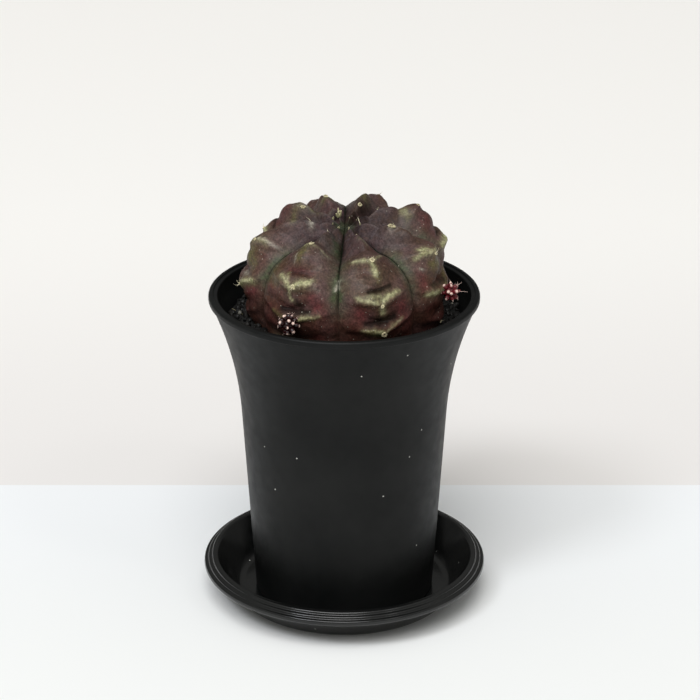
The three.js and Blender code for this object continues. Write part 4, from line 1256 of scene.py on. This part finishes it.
class AddMix(bpy.types.Operator):
    """Adds the potting mix: its bulk, loose crumbs and pale fibres"""
    bl_idname = "cactus.add_mix"
    bl_label = "Potting mix"
    bl_options = {"REGISTER", "UNDO"}

    def execute(self, context):
        settings = context.scene.cactus_mix
        material = damp_bark_mix("damp_composted_bark", settings)
        self.add_bulk(material)
        random = np.random.default_rng(SOIL_SEED)
        self.add_crumbs(settings, material, random)
        self.add_fibres(settings, random)
        return {"FINISHED"}

    def add_bulk(self, material):
        """The mix as one body: the pot's wall, its surface, and the hole round the plant."""
        angles = np.arange(SOIL_COLUMNS) * 360 / SOIL_COLUMNS
        inside = POT_WALL + SOIL_SIDE_GAP
        bottom = POT_FLOOR_Z + POT_FLOOR + GAP
        side = bottom + SOIL_SLANT
        wall = [(pot_radius(bottom) - inside - SOIL_SLANT, bottom), (pot_radius(side) - inside, side)]
        wall += [(pot_radius(z) - inside, z)
                 for z in np.linspace(POT_FLARE_Z, SOIL_Z - SOIL_SLANT, SOIL_WALL_ROWS)]
        turns = np.array([turned(a) for a in angles])
        body = [turns * r + [0, 0, z] for r, z in wall]
        body += [soil_surface(angles, np.full(SOIL_COLUMNS, share))
                 for share in np.linspace(0.04, 1, SOIL_RINGS)]
        top_rows = hole_rows(angles, body[-1][:, 2])
        for share in (0.25, 0.5, 0.75):
            body.append(hole_points(angles, mix(top_rows, LAST_ROW - 1, share)))
        for row in (0, 0.15, 0.3, 0.45, 0.6, 0.8):
            body.append(hole_points(angles, np.full(SOIL_COLUMNS, LAST_ROW - 1 + row)))
        tip = leaned(np.array([[0, 0, CREST_LINE[-1][1] - 2 * GAP]]))[0]
        points, faces = closed_skin(body, [0, 0, bottom], tip)
        bulk = add_piece("mix_bulk", points, faces, material)
        paint(bulk, "shade", np.full(len(points), 0.2))
        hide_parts("soil")

    def add_crumbs(self, settings, material, random):
        """Loose crumbs strewn on the surface, most of them small."""
        ball, ball_faces = round_blob(8, 5)
        crumbs = Gathered()
        for _ in range(settings.crumbs):
            angle = np.array([random.uniform(0, 360)])
            size = settings.crumb_radius / MM * random.uniform(0.35, 1.0) ** 1.3 * random.uniform(0.8, 1.35)
            place = soil_surface(angle, np.array([random.uniform(0.02, 0.97)]))[0]
            shape = ball * size * random.uniform(0.6, 1.15, 3)
            bumps = np.array([noise.noise(Vector(p) * (0.9 / size) + Vector(place)) for p in shape])
            shape = shape * (1 + 0.55 * bumps[:, None])
            spin = np.linalg.qr(random.normal(size=(3, 3)))[0]
            crumbs.add(shape @ spin.T + place + [0, 0, size * 0.25], ball_faces, random.uniform())
        loose = crumbs.build("mix_crumbs", material)

    def add_fibres(self, settings, random):
        """Bent root fibres, most of them on the heap."""
        strands = Gathered()
        for _ in range(settings.fibres):
            angle = SOIL_HEAP_ANGLE + random.normal() * 70
            place = soil_surface(np.array([angle]), np.array([random.uniform(0.15, 0.85)]))[0]
            heading = unit(random.normal(size=3) * [1, 1, 0.25])
            bend = unit(random.normal(size=3) * [1, 1, 0.5])
            reach = random.uniform(1.5, 4.5)
            t = np.linspace(-0.5, 0.5, 9)[:, None]
            line = place + [0, 0, 0.9] + heading * t * reach + bend * reach * 0.7 * (t**2 - 0.1)
            line[:, 2] = np.minimum(line[:, 2], place[2] + 1.6)
            strands.add_tube(line, np.full(9, 0.1), 5, random.uniform(0.4, 1))
        strands.build("mix_fibres", plant_fibre("dry_root_fibre", settings.bark, settings.fibre, 0.8))


class AddPlant(bpy.types.Operator):
    """Adds the ribbed body of the cactus"""
    bl_idname = "cactus.add_plant"
    bl_label = "Cactus body"
    bl_options = {"REGISTER", "UNDO"}

    def execute(self, context):
        settings = context.scene.cactus_plant
        even = np.linspace(-1, 1, SKIN_COLUMNS, endpoint=False)
        columns = mix(even, np.sin(even * math.pi / 2), 0.45)
        rows = [*np.linspace(0.06, 1, TOP_SKIN_ROWS, endpoint=False),
                *np.linspace(1, LAST_ROW - 1, SKIN_ROWS * (LAST_ROW - 2), endpoint=False),
                *np.linspace(LAST_ROW - 1, LAST_ROW, ROOT_SKIN_ROWS, endpoint=False)]
        rib, across = np.meshgrid(np.arange(len(RIBS)), columns, indexing="ij")
        rib = np.tile(rib.ravel(), (len(rows), 1))
        across = np.tile(across.ravel(), (len(rows), 1))
        row = np.tile(np.array(rows[::-1])[:, None], (1, rib.shape[1]))
        points, distance = skin(rib, across, row)
        relief, masks = bulge_marks(rib, across, row, distance)
        lumps = [sum(noise.noise(Vector(p) * often) * high for often, high in SKIN_LUMPS)
                 for p in points.reshape(-1, 3)]
        lumps = np.array(lumps).reshape(row.shape) * smoothstep(distance, 2, 10)
        points, _ = skin(rib, across, row, relief + lumps)
        tip = leaned(np.array([[0, 0, CREST_LINE[-1][1]]]))[0]
        top = leaned(np.array([[0, 0, CREST_LINE[0][1] - 0.4]]))[0]
        material = waxy_epidermis("waxy_cactus_epidermis", settings)
        piece = add_piece("cactus_flesh", *closed_skin(points, tip, top), material)
        # the last two points are the root's tip and the growing point
        for name, values in masks.items():
            paint(piece, name, [*np.clip(values, 0, 1).ravel(), 0, float(name == "crown")])
        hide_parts("cactus_body")
        return {"FINISHED"}


class AddCushions(bpy.types.Operator):
    """Adds the woolly spine cushions and the spines"""
    bl_idname = "cactus.add_cushions"
    bl_label = "Wool and spines"
    bl_options = {"REGISTER", "UNDO"}

    def execute(self, context):
        settings = context.scene.cactus_plant
        random = np.random.default_rng(CUSHION_SEED)
        wool, young, spines = Gathered(), Gathered(), Gathered()
        carriers = {(o["rib"], o["cushion"]) for o in OFFSETS}
        for rib in range(len(RIBS)):
            for cushion in range(CUSHIONS.shape[1]):
                shift, down = WOOL_SHIFTS.get((rib, cushion), (0.0, 0.0))
                place, normal = spot_on_skin(rib, cushion_row(rib, cushion) + down, shift)
                if place[2] < BURIED_BELOW or (rib, cushion) in carriers:
                    continue
                axes = frame_on(normal)
                raised = place + normal * along(CHIN_HEIGHT, CUSHIONS[rib, cushion]) * 0.8
                radius = settings.spine_radius / MM
                shapes = SHOWN_SPINES.get((rib, cushion))
                if cushion == 0:
                    self.add_tuft(young, place, YOUNG_TUFTS[rib], random)
                    shapes = shapes or []
                else:
                    size = WOOL_SIZES.get((rib, cushion), random.uniform(0.75, 1.05))
                    size *= settings.wool_radius / MM
                    squeeze = WOOL_SQUEEZES.get((rib, cushion), (1, 1))
                    self.add_wool(wool, raised, axes, size, squeeze, random.uniform(0.5, 1), random)
                if shapes is None:
                    shapes = [(random.uniform(-1, 1), random.uniform(-0.3, 0.7), random.uniform(0.7, 1.7),
                               random.uniform(-0.5, 0.6)) for _ in range(random.integers(0, 3))]
                for shape in shapes:
                    self.add_spine(spines, raised, axes, radius, shape, random.uniform(0.3, 1))
        wool.build("areole_wool", plant_fibre("aged_areole_wool", settings.old_wool, settings.wool, 0.9))
        young.build("young_wool", plant_fibre("young_areole_wool", settings.olive, settings.wool, 0.9))
        spines.build("spines", plant_fibre("straw_spine", settings.old_wool, settings.spine, 0.5))
        return {"FINISHED"}

    def add_tuft(self, young, place, size, random):
        """An upright tuft of young wool at the growing point, green below with pale tips."""
        for _ in range(TUFT_HAIRS):
            root = random.normal(size=3) * [0.22, 0.22, 0.05] * size
            heading = unit(random.normal(size=3) * [0.14, 0.14, 0.1] + [0, 0, 1])
            reach = size * random.uniform(0.6, 1.9)
            t = np.linspace(0, 1, 6)[:, None]
            line = place + root + heading * reach * t + [0, 0, -0.1]
            young.add_tube(line, size * np.array([0.2, 0.24, 0.22, 0.17, 0.14, 0.06]), 6,
                           [*np.repeat([0, 0, 0, 0.05, 0.3, 0.8], 6), 0, 0.8])

    def add_wool(self, wool, place, axes, size, squeeze, age, random):
        """A low ring of felt with a dent in its middle, and short hairs round it."""
        ring, faces = round_blob(14, 8)
        out = np.hypot(ring[:, 0], ring[:, 1])
        ring[:, 2] = ring[:, 2] * 0.5 - 0.45 * bell(out, 0.45)
        fuzz = np.array([noise.noise(Vector(p) * 2.6 + Vector(place)) for p in ring])
        ring = ring * (1 + 0.3 * fuzz[:, None])
        shade = np.clip(0.6 * age + 0.45 * smoothstep(out, 0.3, 0.8) - 0.25 + 0.3 * fuzz, 0, 1)
        wool.add(place + ring * [size * squeeze[0], size * squeeze[1], size] @ axes, faces, shade)
        for _ in range(WOOL_HAIRS):
            turn = random.uniform(0, 2 * math.pi)
            lean = random.uniform(0.3, 1.1)
            heading = unit(np.array([math.cos(turn) * lean, math.sin(turn) * lean, 1.0]))
            start = np.array([math.cos(turn), math.sin(turn), 0]) * 0.55 * size
            reach = size * random.uniform(0.4, 0.9)
            t = np.linspace(0, 1, 4)[:, None]
            line = start + heading * reach * t + np.array([0, 0, -0.35 * reach]) * t**2
            wool.add_tube(place + line @ axes, [0.06, 0.05, 0.04, 0.02], 3,
                          age * random.uniform(0.5, 1))

    def add_spine(self, spines, place, axes, radius, shape, shade):
        """A spine from its lean sideways and upwards, its length in mm and its upward bend."""
        sideways, upwards, reach, bend = shape
        heading = unit(np.array([sideways, upwards, 0.9]))
        t = np.linspace(0, 1, 7)[:, None]
        line = heading * reach * t + np.array([-sideways * 0.3, bend, -0.2]) * reach * 0.5 * t**2
        spines.add_tube(place + line @ axes, radius * np.linspace(1, 0.3, 7), 5, shade)


class AddOffsets(bpy.types.Operator):
    """Adds the two young heads on the side of the plant"""
    bl_idname = "cactus.add_offsets"
    bl_label = "Offsets"
    bl_options = {"REGISTER", "UNDO"}

    def execute(self, context):
        settings = context.scene.cactus_plant
        random = np.random.default_rng(OFFSET_SEED)
        hairs = Gathered()
        for offset in OFFSETS:
            material = offset_epidermis("young_" + offset["name"], settings, offset["depth"], offset["tip"])
            row = cushion_row(offset["rib"], offset["cushion"])
            place, normal = spot_on_skin(offset["rib"], row, offset["across"])
            centre = place + normal * offset["out"]
            head = self.make_head(offset, centre, frame_on(normal), hairs, random)
            for right, up in offset["hairs"]:
                stem = centre + unit(np.array([right, -0.5, up])) * offset["radius"] * 0.9
                t = np.linspace(0, 1, 5)[:, None]
                line = stem + np.array([right, 0, up]) * t + np.array([0, 0, -0.3]) * t**2
                hairs.add_tube(line, [0.06, 0.05, 0.05, 0.04, 0.02], 3, 0.9)
            piece = head.build(offset["name"] + "_head", material)
            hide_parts(offset["name"])
        hairs.build("offset_hairs", plant_fibre("offset_hair", settings.head, settings.head_tip, 0.6))
        return {"FINISHED"}

    def make_head(self, offset, centre, axes, hairs, random):
        """A core with tubercles spread evenly round it, each with a knob and two short hairs."""
        head = Gathered()
        ball, faces = round_blob(12, 9)
        core = offset["radius"] * OFFSET_CORE
        head.add(centre + ball * core @ axes, faces, 0.0)
        for i in range(offset["tubercles"]):
            z = 1 - 2 * (i + 0.5) / offset["tubercles"]
            if z < OFFSET_BACK:
                continue
            turn = i * math.pi * (3 - math.sqrt(5))
            around = math.sqrt(1 - z * z)
            heading = np.array([around * math.cos(turn), around * math.sin(turn), z])
            heading = unit(heading + random.normal(size=3) * 0.13)
            size = random.uniform(0.8, 1.2) * offset["radius"] / 2.9
            middle = heading * (core + random.uniform(0.0, 0.45))
            tubercle = ball * [0.66, 0.66, 0.9] * size @ frame_on(heading)
            head.add(centre + (middle + tubercle) @ axes, faces, np.clip(ball[:, 2], 0, 1))
            knob = heading * (core + 0.7 * size + 0.25) + random.normal(size=3) * 0.08
            pale = 1.0 if random.uniform() < offset["bright"] else 0.3
            knob_size = size * random.uniform(0.6, 1.2) * 0.33
            head.add(centre + (knob + ball * knob_size) @ axes, faces, pale)
            for _ in range(2):
                way = unit(heading + random.normal(size=3) * 0.5)
                reach = random.uniform(0.4, 1.0)
                t = np.linspace(0, 1, 4)[:, None]
                line = heading * (core + 0.9) + way * reach * t + np.array([0, 0.25, 0]) * reach * t**2
                hairs.add_tube(centre + line @ axes, [0.05, 0.04, 0.03, 0.02], 3, 0.9)
        return head


class AddStage(bpy.types.Operator):
    """Adds the table, the backdrop, the lights and the camera"""
    bl_idname = "cactus.add_stage"
    bl_label = "Stage"
    bl_options = {"REGISTER", "UNDO"}

    def execute(self, context):
        settings = context.scene.cactus_stage
        edge = BACKDROP_Y * MM
        # the backdrop's darker white at the line is painted shade
        boards = [("table", -FAR, edge, settings.table_far, settings.table, TABLE_FADE),
                  ("backdrop", edge, FAR, settings.backdrop_foot_shade, settings.backdrop, BACKDROP_FADE)]
        for name, near_y, far_y, at_line, away, reach in boards:
            mesh = bpy.data.meshes.new(name)
            mesh.from_pydata([(-FAR, near_y, 0), (FAR, near_y, 0), (FAR, far_y, 0), (-FAR, far_y, 0)],
                             [], [(0, 1, 2, 3)])
            mesh.materials.append(matte_board("matte_painted_board_" + name, at_line, away, reach))
            board = bpy.data.objects.new(name, mesh)
            context.scene.collection.objects.link(board)
        for name, kind, place, width, colour, setting in LAMPS:
            self.add_lamp(context, name, kind, place, width, colour, getattr(settings, setting))
        self.add_sky(context, settings.fill)
        self.add_camera(context)
        context.scene.view_settings.view_transform = "Standard"
        return {"FINISHED"}

    def add_lamp(self, context, name, kind, place, width, colour, power):
        """A round lamp whose width is in metres, or a far one whose width is an angle."""
        light = bpy.data.lights.new(name, kind)
        if kind == "AREA":
            light.shape = "DISK"
            light.size = width
        else:
            light.angle = width
        light.energy = power
        light.color = colour
        lamp = bpy.data.objects.new(name, light)
        lamp.location = place
        lamp.rotation_euler = (Vector(AIM) - Vector(place)).to_track_quat("-Z", "Y").to_euler()
        context.scene.collection.objects.link(lamp)

    def add_sky(self, context, strength):
        """Soft light from a pale room, brightest overhead and dimmer behind the pot."""
        world = bpy.data.worlds.new("soft_room")
        world.use_nodes = True
        world.node_tree.nodes.clear()
        tree = world.node_tree
        way = add_node(tree, "ShaderNodeTexCoord").outputs["Generated"]
        parts = add_node(tree, "ShaderNodeSeparateXYZ", {0: way})
        high = add_node(tree, "ShaderNodeMapRange", {
            "Value": parts.outputs["Z"], "From Min": 0.35, "From Max": 0.75,
            "To Min": 0.45, "To Max": 0.85})
        behind = add_node(tree, "ShaderNodeMapRange", {
            "Value": parts.outputs["Y"], "From Min": -0.3, "From Max": 0.5,
            "To Min": strength, "To Max": SKY_BEHIND * strength})
        power = add_node(tree, "ShaderNodeMath", {0: high.outputs[0], 1: behind.outputs[0]},
                         operation="MULTIPLY")
        sky = add_node(tree, "ShaderNodeBackground", {
            "Color": SKY_COLOUR, "Strength": power.outputs[0]})
        add_node(tree, "ShaderNodeOutputWorld", {"Surface": sky.outputs[0]})
        context.scene.world = world

    def add_camera(self, context):
        lens = bpy.data.cameras.new("camera")
        lens.sensor_width = SENSOR
        lens.lens = SENSOR * FOCAL_PIXELS / FRAME_PIXELS
        lens.shift_x = CENTRE_PIXELS_LEFT / FRAME_PIXELS
        lens.clip_end = 20
        camera = bpy.data.objects.new("camera", lens)
        camera.location = (0, CAMERA_Y * MM, CAMERA_Z * MM)
        camera.rotation_euler = (math.radians(90 - CAMERA_TILT), 0, 0)
        context.scene.collection.objects.link(camera)
        context.scene.camera = camera


class CactusPanel(bpy.types.Panel):
    """Lists the pieces of the potted cactus and their settings"""
    bl_idname = "VIEW3D_PT_potted_cactus"
    bl_label = "Potted round cactus"
    bl_space_type = "VIEW_3D"
    bl_region_type = "UI"
    bl_category = "Cactus"

    def draw(self, context):
        for operator, group in STEPS:
            box = self.layout.box()
            box.operator(operator.bl_idname)
            settings = getattr(context.scene, group)
            for name in settings.bl_rna.properties.keys():
                if name not in ("rna_type", "name"):
                    box.prop(settings, name)


STEPS = [
    (AddStage, "cactus_stage"), (AddSaucer, "cactus_saucer"), (AddPot, "cactus_pot"),
    (AddMix, "cactus_mix"), (AddPlant, "cactus_plant"), (AddCushions, "cactus_plant"),
    (AddOffsets, "cactus_plant"),
]
SETTINGS = {
    "cactus_saucer": SaucerSettings, "cactus_pot": PotSettings, "cactus_mix": MixSettings,
    "cactus_plant": PlantSettings, "cactus_stage": StageSettings,
}


def register():
    for group in SETTINGS.values():
        bpy.utils.register_class(group)
    for operator, _ in STEPS:
        bpy.utils.register_class(operator)
    bpy.utils.register_class(CactusPanel)
    for name, group in SETTINGS.items():
        setattr(bpy.types.Scene, name, PointerProperty(type=group))


def unregister():
    for name in SETTINGS:
        delattr(bpy.types.Scene, name)
    bpy.utils.unregister_class(CactusPanel)
    for operator, _ in reversed(STEPS):
        bpy.utils.unregister_class(operator)
    for group in reversed(SETTINGS.values()):
        bpy.utils.unregister_class(group)


def main():
    register()
    for operator, _ in STEPS:
        group, name = operator.bl_idname.split(".")
        getattr(getattr(bpy.ops, group), name)()


if __name__ == "__main__":
    main()
